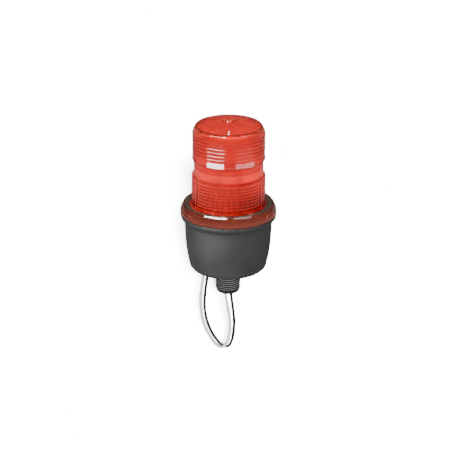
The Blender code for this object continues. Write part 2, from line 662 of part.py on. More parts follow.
def main():
    clear_scene()
    red_lens = material("red_lens", (0.72, 0.03, 0.02), 0.08, transmission=0.8)
    housing_grey = material("housing_grey", (0.075, 0.08, 0.073), 0.55)
    nipple_black = material("nipple_black", (0.012, 0.013, 0.014), 0.25)
    seal_black = material("seal_rubber", (0.02, 0.02, 0.02), 0.8)
    zinc = material("zinc_steel", (0.55, 0.55, 0.53), 0.3, metallic=1.0)
    deck_black = material("deck_plastic", (0.03, 0.03, 0.03), 0.5)
    socket_white = material("socket_ceramic", (0.75, 0.73, 0.68), 0.4)
    glass = material("tube_glass", (0.9, 0.92, 0.95), 0.02, transmission=1.0)
    electrode = material("electrode_brass", (0.75, 0.52, 0.16), 0.25, metallic=1.0)
    nickel = material("trigger_nickel", (0.6, 0.58, 0.52), 0.3, metallic=1.0)
    board_green = material("board_green", (0.02, 0.14, 0.06), 0.4)
    ferrite = material("ferrite", (0.05, 0.05, 0.055), 0.6)
    copper = material("copper_winding", (0.55, 0.22, 0.08), 0.35, metallic=0.7)
    sleeve_black = material("capacitor_sleeve", (0.02, 0.02, 0.03), 0.35)
    film_red = material("film_capacitor", (0.35, 0.05, 0.03), 0.3)
    coil_tape = material("trigger_coil_tape", (0.6, 0.45, 0.1), 0.4)
    resistor_tan = material("resistor_tan", (0.55, 0.42, 0.25), 0.5)
    diode_black = material("diode_black", (0.02, 0.02, 0.02), 0.3)
    epoxy_black = material("transistor_epoxy", (0.025, 0.025, 0.025), 0.45)
    terminal_green = material("terminal_green", (0.04, 0.25, 0.10), 0.4)
    wire_red = material("wire_red", (0.5, 0.02, 0.02), 0.4)
    wire_blue = material("wire_blue", (0.03, 0.06, 0.35), 0.4)
    lead_white = material("lead_white", (0.65, 0.63, 0.58), 0.4)
    lead_black = material("lead_black", (0.02, 0.02, 0.02), 0.35)
    tinned = material("tinned_copper", (0.7, 0.69, 0.66), 0.35, metallic=1.0)

    make_nipple(nipple_black)
    make_nipple_washer(seal_black)
    make_nipple_locknut(zinc)
    make_housing(housing_grey)

    dome_axis = motion_axis("dome_axis", NECK_TOP)
    make_dome(red_lens, dome_axis)
    make_dome_gasket(seal_black, dome_axis)

    make_deck(deck_black)
    make_deck_screws(zinc)
    make_socket(socket_white)
    lamp_axis = motion_axis("lamp_axis", SOCKET_TOP)
    make_lamp_base(socket_white, lamp_axis)
    make_flash_tube(glass, electrode, nickel, lamp_axis)

    make_board(board_green)
    make_board_screws(zinc)
    make_transformer(ferrite, copper)
    make_can("flash_capacitor", 0.0080, 0.0280, (-0.018, 0.005), sleeve_black)
    make_can("trigger_coil", 0.0035, 0.0110, (0.011, -0.015), coil_tape, 14)
    place("film_capacitor", block_mesh("film_capacitor", (0.008, 0.006, 0.009), 0.0008),
          film_red, (-0.0115, -0.019, BOARD_TOP + GAP))
    place("terminal_block", block_mesh("terminal_block", (0.010, 0.008, 0.009)),
          terminal_green, (0.0, -0.0170 - GAP, BOARD_TOP + GAP))
    make_axial("charge_resistor", (-0.002, 0.012), 0.011, 0.0013, resistor_tan)
    make_axial("bleed_resistor", (-0.004, 0.0162), 0.011, 0.0013, resistor_tan)
    make_axial("rectifier_diode", (-0.004, 0.0202), 0.009, 0.0012, diode_black)
    make_axial("reverse_diode", (0.0150, -0.0085), 0.009, 0.0012, diode_black)
    make_transistor(epoxy_black)
    make_lamp_wires({"anode_wire": wire_red, "cathode_wire": lead_black,
                     "trigger_lead": wire_blue})

    make_lead_plug(epoxy_black)
    make_leads(lead_white, lead_black, tinned)


main()
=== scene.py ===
"""A pipe-mount strobe warning light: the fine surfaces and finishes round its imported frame."""

from functools import partial
from math import atan2, cos, pi, radians, sin, sqrt

import bmesh
import bpy
from bpy.props import FloatProperty, FloatVectorProperty, IntProperty, PointerProperty
from mathutils import Matrix, Vector


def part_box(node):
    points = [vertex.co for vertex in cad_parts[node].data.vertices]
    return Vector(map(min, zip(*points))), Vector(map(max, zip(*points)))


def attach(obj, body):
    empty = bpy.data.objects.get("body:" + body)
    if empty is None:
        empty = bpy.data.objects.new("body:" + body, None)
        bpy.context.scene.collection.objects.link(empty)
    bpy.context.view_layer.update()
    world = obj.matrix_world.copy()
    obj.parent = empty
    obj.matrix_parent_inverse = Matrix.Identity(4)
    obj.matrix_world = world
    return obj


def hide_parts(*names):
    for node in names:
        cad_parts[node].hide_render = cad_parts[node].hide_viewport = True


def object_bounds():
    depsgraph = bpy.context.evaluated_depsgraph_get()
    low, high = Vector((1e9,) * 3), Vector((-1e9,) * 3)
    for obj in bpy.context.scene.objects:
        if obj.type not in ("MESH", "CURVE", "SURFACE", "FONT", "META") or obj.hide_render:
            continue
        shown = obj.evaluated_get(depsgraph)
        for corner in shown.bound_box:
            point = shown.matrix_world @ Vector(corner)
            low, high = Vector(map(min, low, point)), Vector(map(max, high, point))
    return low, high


bl_info = {
    "name": "Strobe warning light",
    "version": (1, 0, 0),
    "blender": (4, 5, 0),
    "location": "View3D > Sidebar > Strobe light",
    "description": "Builds a red-domed strobe warning light on its packed frame",
    "category": "Add Mesh",
}

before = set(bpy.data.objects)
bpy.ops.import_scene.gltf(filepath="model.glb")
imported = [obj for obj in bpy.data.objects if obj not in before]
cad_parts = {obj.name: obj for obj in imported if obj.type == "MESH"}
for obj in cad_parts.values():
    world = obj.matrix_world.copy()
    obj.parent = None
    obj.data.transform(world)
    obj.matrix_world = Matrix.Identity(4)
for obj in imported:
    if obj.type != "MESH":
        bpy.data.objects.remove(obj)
CAD_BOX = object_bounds()
MM = 0.001


def heights(node):
    """The lowest and the highest height of a CAD node."""
    return tuple(corner.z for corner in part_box(node))


def mm(*points, base=0.0):
    """Points given in millimetres, in metres; the heights count from a base height."""
    return [(*(round(c * MM, 8) for c in point[:-1]), base + round(point[-1] * MM, 8))
            for point in points]


# Heights and radii that the frame gives
SKIRT_LOW, CROWN = heights("dome_lens")
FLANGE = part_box("dome_lens")[1].x
BOWL_LOW, NECK_HIGH = heights("housing")
LIP_TOP = SKIRT_LOW - 0.3 * MM
DECK_LOW, DECK_HIGH = heights("lamp_deck")
BOARD_LOW, BOARD_HIGH = heights("circuit_board")
SOCKET_HIGH = heights("lamp_socket")[1]
BASE_LOW, BASE_HIGH = SOCKET_HIGH + 0.3 * MM, heights("lamp_base")[1]
TUBE_LOW = heights("flash_tube")[0]
NIPPLE_HIGH = heights("pipe_nipple")[1]

# Heights on the dome's wall: upper ribs, plain land, and the first groove of the lower band
RIBS_HIGH, LAND_HIGH, LAND_LOW, STEPS_HIGH = 0.1444, 0.1258, 0.1213, 0.1030

BOSS_ANGLES, BOSS_RING = (30, 150, 270), 0.0294
POST_ANGLES, POST_RING = (90, 210, 330), 0.025
PIN_SPOTS = ((-0.007, 0.0), (0.007, 0.0), (0.0, 0.007))
AXIALS = ("charge_resistor", "bleed_resistor", "rectifier_diode", "reverse_diode")

# The two leads' routes, from inside the nipple down, round and up behind the bowl
WHITE_ROUTE = mm(
    (-2.3, 0, 1.7), (-2.1, 0, -4), (-0.1, 0.6, -16.5), (1.7, 1.6, -29.7), (1.4, 4.2, -43.8),
    (-1.2, 7.8, -54.6), (-4.8, 11.5, -60), (-9.5, 15.5, -60.2), (-17.2, 20.6, -50.9),
    (-22, 24, -40.2), (-23.7, 26.2, -28.2), (-24, 27.4, -19), (-23, 28.4, -9.7),
    (-21.8, 29.2, -0.4), (-21, 29.8, 10), (-20.8, 30.1, 19), (-20.8, 30.5, 27))
BLACK_ROUTE = mm(
    (2.3, 0, 1.7), (2.6, 0.1, -4), (3.4, 0.4, -10), (4.6, 1, -19.8), (5.5, 2.6, -30.2),
    (4.9, 6.5, -43.6), (3.4, 10.6, -53.4), (-0.1, 15, -61), (-4.8, 18.3, -61.4),
    (-9.6, 21.3, -57.8), (-14.9, 24.2, -50), (-18.8, 26.7, -40.1), (-20.4, 28.2, -31),
    (-20.6, 29.3, -23), (-19.8, 30.2, -13.7), (-18.3, 31.1, -1.4), (-17.2, 31.8, 10),
    (-16.6, 32.3, 19), (-16.4, 32.9, 27))

# Painted light and shade up the lens's wall: a paler lower window and crown, a darker upper window
# and a painted pale reflection on the gate boss. Where each band stands, and how far its red and
# the rest are raised
LENS_PAINTED_LIGHT = (
    (0.0, 1.55, 1.5), (0.1074, 1.55, 1.5), (0.1080, 1.62, 2.4), (0.1140, 1.62, 2.4),
    (0.1146, 1.12, 0.9), (0.1196, 1.12, 0.9), (0.1202, 1.04, 1.0), (0.1466, 1.04, 1.0),
    (0.1476, 1.66, 3.5), (0.1543, 1.66, 3.5), (0.1547, 1.66, 9.0))
# The flange's flat lies between these radii; the flat's and the skirt's tones are painted shade
# with a painted grey sheen
PLATE_IN, PLATE_OUT = 0.0332, 0.0371
PLATE_SHADE_AND_SHEEN, SKIRT_SHADE_AND_SHEEN = (0.125, 0.097, 0.072), (0.42, 0.095, 0.062)

WHITE, PINK, PALE_PINK = (1, 1, 1), (1.0, 0.80, 0.80), (1.0, 0.86, 0.86)
# Two pairs of softboxes in front, low and high, split by a gap, and a small one behind:
# azimuth and elevation in degrees, distance, width, height, power and tint
SOFTBOXES = {
    "low_left": (-41, -4.5, 0.42, 0.42, 0.07, 4.2, WHITE),
    "low_right": (52, -4.5, 0.42, 0.50, 0.07, 0.7, PINK),
    "high_left": (-40, 46, 0.70, 0.60, 0.18, 22.0, WHITE),
    "high_right": (52, 46, 0.70, 0.75, 0.18, 3.0, PALE_PINK),
    "crown_glint": (180, 56, 0.80, 0.012, 0.15, 0.10, WHITE),
}


# ---------------------------------------------------------------- sizes and colours

def length(name, text, value):
    return FloatProperty(name=name, description=text, default=value, min=0.0, precision=5,
                         unit="LENGTH")


def colour(name, text, value):
    return FloatVectorProperty(name=name, description=text, default=value, size=3, min=0.0,
                               max=1.0, subtype="COLOR")


class StrobeSizes(bpy.types.PropertyGroup):
    """Sizes of the details that a user would change."""

    steps: IntProperty(name="Facets", description="Steps round the large turned pieces",
                       default=240, min=40)
    flutes: IntProperty(name="Flutes", description="Upright flutes inside the dome",
                        default=40, min=8)
    flute_depth: length("Flute depth", "How far the lower band's inner flutes stand in", 0.00016)
    rib_pitch: length("Upper rib pitch", "Height of each rib of the upper band", 0.0031)
    rib_depth: length("Upper rib depth", "Depth of the grooves of the upper band", 0.00035)
    step_pitch: length("Lower rib pitch", "Height of each rib of the lower band", 0.00275)
    step_depth: length("Lower groove depth", "Depth of the grooves of the lower band", 0.0004)
    ring_pitch: length("Crown ring pitch", "Spacing of the rings under the crown", 0.0022)
    ring_depth: length("Crown ring depth", "Depth of the rings under the crown", 0.00012)
    pipe_pitch: length("Pipe thread pitch", "Pitch of the nipple's thread", 0.0254 / 14)
    dome_pitch: length("Dome thread pitch", "Pitch of the thread under the skirt", 0.0032)
    lead_width: length("Lead diameter", "Diameter of each supply lead", 0.0026)


class StrobeColours(bpy.types.PropertyGroup):
    """Colours of the light's finishes."""

    lens: colour("Lens", "Red plastic of the dome", (0.60, 0.050, 0.034))
    bowl: colour("Housing", "Dark grey plastic of the housing", (0.022, 0.0232, 0.0214))
    nipple: colour("Nipple", "Black of the pipe nipple", (0.017, 0.018, 0.020))
    rubber: colour("Rubber", "Black rubber seals", (0.018, 0.018, 0.018))
    white_lead: colour("White lead", "Insulation of the white lead", (0.86, 0.845, 0.80))
    black_lead: colour("Black lead", "Insulation of the black lead", (0.022, 0.022, 0.023))
    board: colour("Board", "Solder mask of the circuit board", (0.012, 0.11, 0.04))
    ceramic: colour("Socket", "Off-white of the lamp's socket and base", (0.72, 0.69, 0.62))
    brass: colour("Brass", "Electrodes of the lamp", (0.80, 0.52, 0.13))


# ---------------------------------------------------------------- shapes

def arc(centre, radius, start, end, count):
    """Points on an arc in the (radius, height) plane, angles in degrees."""
    turns = [radians(start + (end - start) * i / (count - 1)) for i in range(count)]
    return [(centre[0] + radius * cos(a), centre[1] + radius * sin(a)) for a in turns]


def around(radius, angle):
    return Vector((radius * cos(radians(angle)), radius * sin(radians(angle))))


def turned(outline, steps, bm=None, centre=(0.0, 0.0)):
    """Spin an outline of (radius, height) points about an upright axis."""
    bm = bm or bmesh.new()
    corners = [bm.verts.new((centre[0] + r, centre[1], z)) for r, z in outline]
    pairs = list(zip(corners, corners[1:]))
    if outline[0][0] > 0 or outline[-1][0] > 0:
        pairs.append((corners[-1], corners[0]))
    edges = [bm.edges.new(pair) for pair in pairs]
    bmesh.ops.spin(bm, geom=corners + edges, cent=(*centre, 0), axis=(0, 0, 1),
                   angle=2 * pi, steps=steps, use_merge=True)
    return bm


def wind(bm, section, low, high, pitch, per_turn, lead=0.0):
    """Wind a section of (radius, share of a pitch) points up a right-hand helix."""
    turn = Matrix.Rotation(2 * pi * lead, 3, "Z")
    corners = [bm.verts.new(turn @ Vector((r, 0, low + along * pitch))) for r, along in section]
    start = bm.faces.new(corners)
    old = set(bm.verts) - set(corners)
    turns = (high - low) / pitch
    steps = round(turns * per_turn)
    bmesh.ops.spin(bm, geom=[start, *start.edges, *corners], cent=(0, 0, 0), axis=(0, 0, 1),
                   dvec=(0, 0, (high - low) / steps), angle=2 * pi * turns, steps=steps)
    return set(bm.verts) - old


def wind_ridge(bm, core, crest, low, high, pitch, per_turn, base=0.42, flat=0.10):
    """A thread's ridge on a core, fading in and out over its first and last turn."""
    section = [(core, -base), (crest, -flat), (crest, flat), (core, base)]
    for vert in wind(bm, section, low, high, pitch, per_turn):
        share = min(1.0, (vert.co.z - low) / pitch, (high - vert.co.z) / pitch)
        radius = vert.co.xy.length
        vert.co.xy *= (core + (radius - core) * max(share, 0.02)) / radius


def block(bm, size, centre, edge=0.0, segments=2):
    """Add a box with rounded edges."""
    made = bmesh.ops.create_cube(bm, size=1.0)["verts"]
    bmesh.ops.scale(bm, verts=made, vec=size)
    bmesh.ops.translate(bm, verts=made, vec=centre)
    if edge:
        edges = list({e for v in made for e in v.link_edges})
        bmesh.ops.bevel(bm, geom=edges, offset=edge, segments=segments, profile=0.5,
                        affect="EDGES", material=-1)
    return made


def rod(bm, start, end, radius, sides=12, end_radius=None):
    """Add a straight round rod between two points."""
    start, end = Vector(start), Vector(end)
    along = end - start
    turn = along.to_track_quat("Z", "Y").to_matrix().to_4x4()
    bmesh.ops.create_cone(
        bm, cap_ends=True, segments=sides, radius1=radius,
        radius2=radius if end_radius is None else end_radius, depth=along.length,
        matrix=Matrix.Translation((start + end) / 2) @ turn)


def tidy(bm):
    bmesh.ops.remove_doubles(bm, verts=bm.verts, dist=1e-6)
    bmesh.ops.dissolve_degenerate(bm, dist=1e-7, edges=bm.edges)
    bmesh.ops.recalc_face_normals(bm, faces=bm.faces)
    return bm


def placed(name, bm):
    """Turn a bmesh into an object of the scene."""
    mesh = bpy.data.meshes.new(name)
    bm.to_mesh(mesh)
    bm.free()
    made = bpy.data.objects.new(name, mesh)
    bpy.context.scene.collection.objects.link(made)
    return made


def smoothed(mesh, sharp=38):
    mesh.shade_smooth()
    mesh.set_sharp_from_angle(angle=radians(sharp))


def piece(name, bm, finish, nodes=(), body="base", sharp=38):
    """Turn a bmesh into a finished piece that rides on a body and stands for CAD nodes."""
    made = placed(name, tidy(bm))
    smoothed(made.data, sharp)
    return settle(made, finish, nodes, body)


def settle(made, finish, nodes, body):
    """Give a piece its finish and body, and hide the CAD nodes that it stands for."""
    made.data.materials.append(finish)
    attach(made, body)
    if nodes:
        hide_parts(*nodes)
    # The frame's own materials hold the slots' names, so a finish's name has a number behind
    return made


def carve(made, cutter_bm):
    """Cut a shape out of a piece for good."""
    cutter = placed("cutter", tidy(cutter_bm))
    cut = made.modifiers.new("Cut", "BOOLEAN")
    cut.operation = "DIFFERENCE"
    cut.object = cutter
    cut.solver = "EXACT"
    cut.use_self = True
    bpy.context.view_layer.update()
    evaluated = made.evaluated_get(bpy.context.evaluated_depsgraph_get())
    result = bpy.data.meshes.new_from_object(evaluated)
    made.modifiers.remove(cut)
    if not result.polygons:
        raise RuntimeError(f"the cut left nothing of {made.name}")
    old = made.data
    made.data = result
    made.data.name = made.name
    bpy.data.meshes.remove(old)
    bpy.data.objects.remove(cutter)
    smoothed(made.data)


def wire(name, routes, radius, finish, nodes=(), body="base", smooth=True,
         resolution=4):
    """A piece of round wire: one spline along each route."""
    curve = bpy.data.curves.new(name, "CURVE")
    curve.dimensions = "3D"
    curve.bevel_depth = radius
    curve.bevel_resolution = resolution
    curve.resolution_u = 8
    curve.render_resolution_u = 0
    curve.use_fill_caps = True
    for route in routes:
        spline = curve.splines.new("BEZIER" if smooth else "POLY")
        knots = spline.bezier_points if smooth else spline.points
        knots.add(len(route) - 1)
        for knot, point in zip(knots, route):
            knot.co = point if smooth else (*point, 1)
            if smooth:
                knot.handle_left_type = knot.handle_right_type = "AUTO"
    made = bpy.data.objects.new(name, curve)
    bpy.context.scene.collection.objects.link(made)
    return settle(made, finish, nodes, body)


def twisted(start, end, width, count, turns):
    """Routes of thin strands twisted about a straight line."""
    along = end - start
    side = along.orthogonal().normalized()
    other = along.normalized().cross(side)
    routes = [[start, end]]
    for k in range(count):
        angles = [2 * pi * (k / count + turns * i / 24) for i in range(25)]
        routes.append([start + along * i / 24 + width * (cos(a) * side + sin(a) * other)
                       for i, a in enumerate(angles)])
    return routes


# ---------------------------------------------------------------- finishes

def feed(owner, socket, value):
    """Set a socket to a value, or join another node's output to it."""
    if isinstance(value, bpy.types.NodeSocket):
        owner.node_tree.links.new(value, socket)
    else:
        socket.default_value = value


def add(owner, kind, **values):
    """A node; its inputs, with _ for a space, take values or outputs, the rest are settings."""
    node = owner.node_tree.nodes.new(kind)
    for key, value in values.items():
        socket = node.inputs.get(key.replace("_", " "))
        if socket is None:
            setattr(node, key, value)
        else:
            feed(owner, socket, value)
    return node


def shade(finish, name, value):
    """Set or drive one input of the finish's main shader."""
    feed(finish, finish.node_tree.nodes["Principled BSDF"].inputs[name], value)


def shader(name, base, roughness, metallic=0.0, **inputs):
    """A Principled finish; extra inputs are set by their socket names, _ for a space."""
    finish = bpy.data.materials.new(name)
    finish.use_nodes = True
    inputs.update(Base_Color=(*base, 1.0), Roughness=roughness, Metallic=metallic)
    for key, value in inputs.items():
        shade(finish, key.replace("_", " "), value)
    finish.diffuse_color = (*base, 1.0)
    return finish


def place(finish):
    """The object's own coordinates."""
    return add(finish, "ShaderNodeTexCoord").outputs["Object"]


def axes(finish):
    """The object's own x, y and z as values, in metres."""
    return add(finish, "ShaderNodeSeparateXYZ", Vector=place(finish)).outputs


def off_axis(finish):
    """How far from the upright axis, in metres."""
    level = add(finish, "ShaderNodeVectorMath", operation="MULTIPLY", Vector=place(finish))
    level.inputs[1].default_value = (1, 1, 0)
    return add(finish, "ShaderNodeVectorMath", operation="LENGTH",
               Vector=level.outputs["Vector"]).outputs["Value"]


def reckon(owner, operation, *terms):
    """One step of arithmetic; the terms are values or sockets."""
    node = add(owner, "ShaderNodeMath", operation=operation)
    for socket, term in zip(node.inputs, terms):
        feed(owner, socket, term)
    return node.outputs["Value"]


def between(owner, value, low, high):
    """1 where a value lies between two bounds, 0 elsewhere."""
    return reckon(owner, "MULTIPLY", reckon(owner, "GREATER_THAN", value, low),
                  reckon(owner, "LESS_THAN", value, high))


def remap(owner, source, low, high, to_low=0.0, to_high=1.0):
    """Stretch a value from one range over another, held at both ends."""
    return add(owner, "ShaderNodeMapRange", Value=source, From_Min=low, From_Max=high,
               To_Min=to_low, To_Max=to_high).outputs["Result"]


def ramp(finish, source, stops, interpolation="LINEAR"):
    """A colour read off a row of (place, colour) stops."""
    node = add(finish, "ShaderNodeValToRGB", Fac=source)
    node.color_ramp.interpolation = interpolation
    elements = node.color_ramp.elements
    elements.remove(elements[1])
    elements[0].position = stops[0][0]
    elements[0].color = (*stops[0][1], 1)
    for at, tint in stops[1:]:
        elements.new(at).color = (*tint, 1)
    return node.outputs["Color"]


def mixed(finish, share, under, over, blend_type="MIX"):
    """One colour over another; each is a value or a socket."""
    node = add(finish, "ShaderNodeMix", data_type="RGBA", blend_type=blend_type, Factor=share)
    feed(finish, node.inputs[6], under)
    feed(finish, node.inputs[7], over)
    return node.outputs[2]


def grain(finish, scale, detail=3.0):
    """Noise on the object's own coordinates."""
    return add(finish, "ShaderNodeTexNoise", Scale=scale, Detail=detail,
               Vector=place(finish)).outputs["Fac"]


def bump(finish, source, depth, strength=1.0):
    node = add(finish, "ShaderNodeBump", Strength=strength, Distance=depth, Height=source)
    shade(finish, "Normal", node.outputs["Normal"])


def vary_colour(finish, source, tint, first, last, low=0.3, high=0.7):
    """Run the colour from one multiple of a tint to another."""
    stops = [(at, [min(1.0, c * amount) for c in tint])
             for at, amount in ((low, first), (high, last))]
    shade(finish, "Base Color", ramp(finish, source, stops))


def vary_roughness(finish, source, low, high):
    shade(finish, "Roughness", remap(finish, source, 0.0, 1.0, low, high))


def painted_groove_shade(finish, sizes, x, y, z):
    """Painted shade in the grooves of both bands, with a painted dark spot at each flute of the
    low rows.
    """
    calc = partial(reckon, finish)

    def waves(turn, sharpness):
        wave = calc("MULTIPLY_ADD", calc("COSINE", turn), 0.5, 0.5)
        return calc("POWER", wave, sharpness)

    def stripes(start, pitch, sharpness):
        return waves(calc("MULTIPLY", calc("SUBTRACT", z, start), 2 * pi / pitch), sharpness)

    # Painted shade: a dark spot at each flute, where dark parts show through
    shade_spots = waves(calc("MULTIPLY", calc("ARCTAN2", y, x), float(sizes.flutes)), 2.0)
    shade_spots = calc("MULTIPLY_ADD", shade_spots, 0.42, 0.16)
    upper = calc("MULTIPLY", between(finish, z, 0.1262, 0.1448), 0.14)
    upper = calc("MULTIPLY", upper, stripes(RIBS_HIGH, sizes.rib_pitch, 3.0))
    middle = calc("MULTIPLY", between(finish, z, 0.0945, 0.1045), 0.16)
    lower = calc("MULTIPLY", between(finish, z, 0.0822, 0.0945), shade_spots)
    lower = calc("MULTIPLY", calc("ADD", middle, lower),
                 stripes(STEPS_HIGH, sizes.step_pitch, 2.5))
    light = calc("SUBTRACT", 1.0, calc("ADD", upper, lower))
    return add(finish, "ShaderNodeCombineColor", Red=light, Green=light,
               Blue=light).outputs["Color"]


def lens_finish(sizes, tint):
    """Clear red polycarbonate: bands of painted light and shade up the wall, and a flange dulled
    with painted shade and a painted sheen.
    """
    finish = shader("red_lens", tint, 0.045, Transmission_Weight=0.93, IOR=1.55)
    calc = partial(reckon, finish)
    x, y, z = axes(finish)
    out = off_axis(finish)
    # Painted light and shade: the lens's colour is raised or lowered band by band up its wall
    tones = [(max(0.0, (low - BASE_LOW) / (CROWN - BASE_LOW)),
              (min(1.0, tint[0] * red), tint[1] * rest, tint[2] * rest))
             for low, red, rest in LENS_PAINTED_LIGHT]
    tone = ramp(finish, remap(finish, z, BASE_LOW, CROWN), tones)
    # The painted shade of the grooves and flutes darkens the tone
    tone = mixed(finish, 1.0, tone, painted_groove_shade(finish, sizes, x, y, z), "MULTIPLY")
    # The flange is thick over black parts: painted shade with a painted grey sheen makes its flat
    # near black and its skirt a dull red
    plate = between(finish, out, PLATE_IN, PLATE_OUT)
    skirt = calc("GREATER_THAN", out, PLATE_OUT)
    tone = mixed(finish, plate, tone, (*PLATE_SHADE_AND_SHEEN, 1))
    shade(finish, "Base Color", mixed(finish, skirt, tone, (*SKIRT_SHADE_AND_SHEEN, 1)))
    clear = calc("SUBTRACT", 0.95, calc("MULTIPLY", plate, 0.85))
    clear = calc("SUBTRACT", clear, calc("MULTIPLY", skirt, 0.22))
    shade(finish, "Transmission Weight", clear)
    # The mould leaves the wall's inside satin, most so low down; the rest is polished
    satin = remap(finish, out, 0.0290, 0.0292, 0.30, 0.0)
    low_wall = calc("MULTIPLY", calc("LESS_THAN", z, 0.1075), calc("MULTIPLY", satin, 0.5))
    below_crown = calc("SUBTRACT", 1.0, calc("GREATER_THAN", z, 0.1470))
    wall = calc("MULTIPLY", calc("ADD", satin, low_wall), below_crown)
    under_plate = calc("MULTIPLY", calc("LESS_THAN", z, 0.0797), calc("LESS_THAN", out, 0.0381))
    rough = calc("ADD", wall, calc("MULTIPLY", under_plate, 0.3))
    shade(finish, "Roughness", calc("MAXIMUM", rough, 0.04))
    bump(finish, grain(finish, 60, 1.0), 0.00006, 0.5)
    return finish


def moulded_finish(name, tint, roughness, pebble=2600, depth=0.00006):
    """Moulded plastic with a fine pebble and faint clouds of tone."""
    finish = shader(name, tint, roughness, Specular_IOR_Level=0.4)
    clouds = grain(finish, 55, 4.0)
    vary_colour(finish, clouds, tint, 0.86, 1.16)
    vary_roughness(finish, clouds, roughness - 0.06, roughness + 0.08)
    bump(finish, grain(finish, pebble, 2.0), depth, 0.6)
    return finish


def painted_crest_highlights(finish, tint, root, crest):
    """Paint a thread pale where it stands farthest from the axis: a painted highlight along its
    crests.
    """
    highlight_share = remap(finish, off_axis(finish), root, crest)
    stops = ((0.1, tint), (0.9, (0.20, 0.205, 0.21)))
    shade(finish, "Base Color", ramp(finish, highlight_share, stops))


def metal_finish(name, tint, roughness, scale=900):
    """Plated metal with fine drawn or worked streaks."""
    finish = shader(name, tint, roughness, 1.0)
    streaks = grain(finish, scale, 4.0)
    vary_colour(finish, streaks, tint, 0.75, 1.1)
    vary_roughness(finish, streaks, roughness * 0.7, roughness * 1.4)
    bump(finish, streaks, 0.00003, 0.4)
    return finish


def rubber_finish(tint):
    finish = shader("seal_rubber", tint, 0.75, Specular_IOR_Level=0.3)
    speck = grain(finish, 1800)
    vary_colour(finish, speck, tint, 0.7, 1.5)
    bump(finish, speck, 0.00005, 0.7)
    return finish


def lead_finish(name, tint, roughness):
    """Extruded insulation: faint drag lines and handling marks."""
    finish = shader(name, tint, roughness, Specular_IOR_Level=0.2)
    marks = grain(finish, 320, 4.0)
    vary_colour(finish, marks, tint, 0.82, 1.08)
    vary_roughness(finish, marks, roughness - 0.08, roughness + 0.1)
    bump(finish, grain(finish, 1500, 2.0), 0.00003, 0.5)
    return finish


def glass_finish():
    finish = shader("tube_glass", (0.94, 0.96, 0.98), 0.02, Transmission_Weight=1.0, IOR=1.47)
    bump(finish, grain(finish, 300, 1.0), 0.00002, 0.4)
    return finish


def banded_finish(name, body_tint, bands, axis, start, end):
    """A component's lacquer with rings of colour at shares of its length."""
    finish = shader(name, body_tint, 0.35)
    stops = [(0.0, body_tint)]
    for low, high, tint in bands:
        stops += [(low, tint), (high, body_tint)]
    share = remap(finish, axes(finish)[axis], start, end)
    shade(finish, "Base Color", ramp(finish, share, stops, "CONSTANT"))
    bump(finish, grain(finish, 1400), 0.00003, 0.5)
    return finish


def board_finish(tint):
    """Green solder mask over faint copper tracks."""
    finish = shader("board_green", tint, 0.32, Specular_IOR_Level=0.6)
    tracks = add(finish, "ShaderNodeTexVoronoi", Scale=230.0, distance="CHEBYCHEV",
                 feature="DISTANCE_TO_EDGE", Vector=place(finish)).outputs["Distance"]
    vary_colour(finish, tracks, tint, 2.1, 1.0, 0.03, 0.07)
    bump(finish, tracks, 0.00004, 0.5)
    return finish


# ---------------------------------------------------------------- dome

def crown_outline():
    """The crown's outside, from the gate boss out to the notch at its edge."""
    ball, ball_high = 0.090, CROWN - 0.6 * MM
    outline = mm((0, -0.35), (1.1, -0.33), (1.7, -0.05), (2.2, 0), (5.6, -0.1), (6, -0.25),
                 base=CROWN)
    for i in range(15):
        r = 0.0063 + 0.0211 * i / 14
        outline.append((r, ball_high - ball + sqrt(ball * ball - r * r)))
    return outline + mm((27.65, -0.25), (27.65, -0.7), (28.7, -1.5), (28.85, -1.72),
                        base=outline[-1][1])


def rib_outline(sizes, high, count, radius):
    """Ribs with a chamfer and a leaning brow, and grooves between, from the top one down."""
    deep, pitch = sizes.rib_depth, sizes.rib_pitch
    outline = []
    for k in range(count):
        top = high - k * pitch
        lean = (0.13 if k < 2 else 0.045) * MM
        brow = top - deep + lean
        outline += [(radius - deep, top), (radius - lean, brow), (radius, brow - 0.32 * MM),
                    (radius, top - pitch + 1.5 * deep)]
    return outline + [(radius - deep, high - count * pitch)]


def step_outline(sizes, high, count, radius, spread):
    """Flat ribs with narrow V grooves, widening downwards by spread."""
    outline = []
    for k in range(count):
        z = high - k * sizes.step_pitch
        r = radius + spread * k / count
        outline += [(r, z + 0.28 * MM), (r - sizes.step_depth, z), (r, z - 0.28 * MM)]
    return outline


def dome_outside(sizes):
    count = round((RIBS_HIGH - LAND_HIGH) / sizes.rib_pitch)
    return (
        crown_outline()
        + mm((29.4, 147.2), (30, 145.9), (30.35, 145))
        + rib_outline(sizes, RIBS_HIGH, count, 0.0306)
        + mm((30.3, -0.15), base=LAND_HIGH)
        + mm((30.9, 0.1), (30.9, -0.2), (30.5, -0.65), (29.65, -1.3), (29.4, -1.8),
             (29.35, -2.1), base=LAND_LOW)
        + mm((29.3, 118.7), (29.3, 114.5), (29.3, 107.7), (29.8, 107.5), (31.08, 106.6))
        + step_outline(sizes, STEPS_HIGH, 8, 0.03108, 0.0002)
        + mm((31.3, 81.1), (33.3, 80.8), (33.7, 80.4), (36.9, 80.4), (37.3, 81.2), (38, 81.6),
             (38.85, 80.45), (39.3, 79.5), (40, 77.8), (40.5, 76.5))
        + [(FLANGE, 0.0758), (FLANGE, 0.0731), (FLANGE - 0.15 * MM, SKIRT_LOW + 0.25 * MM),
           (FLANGE - 0.5 * MM, SKIRT_LOW)]
    )


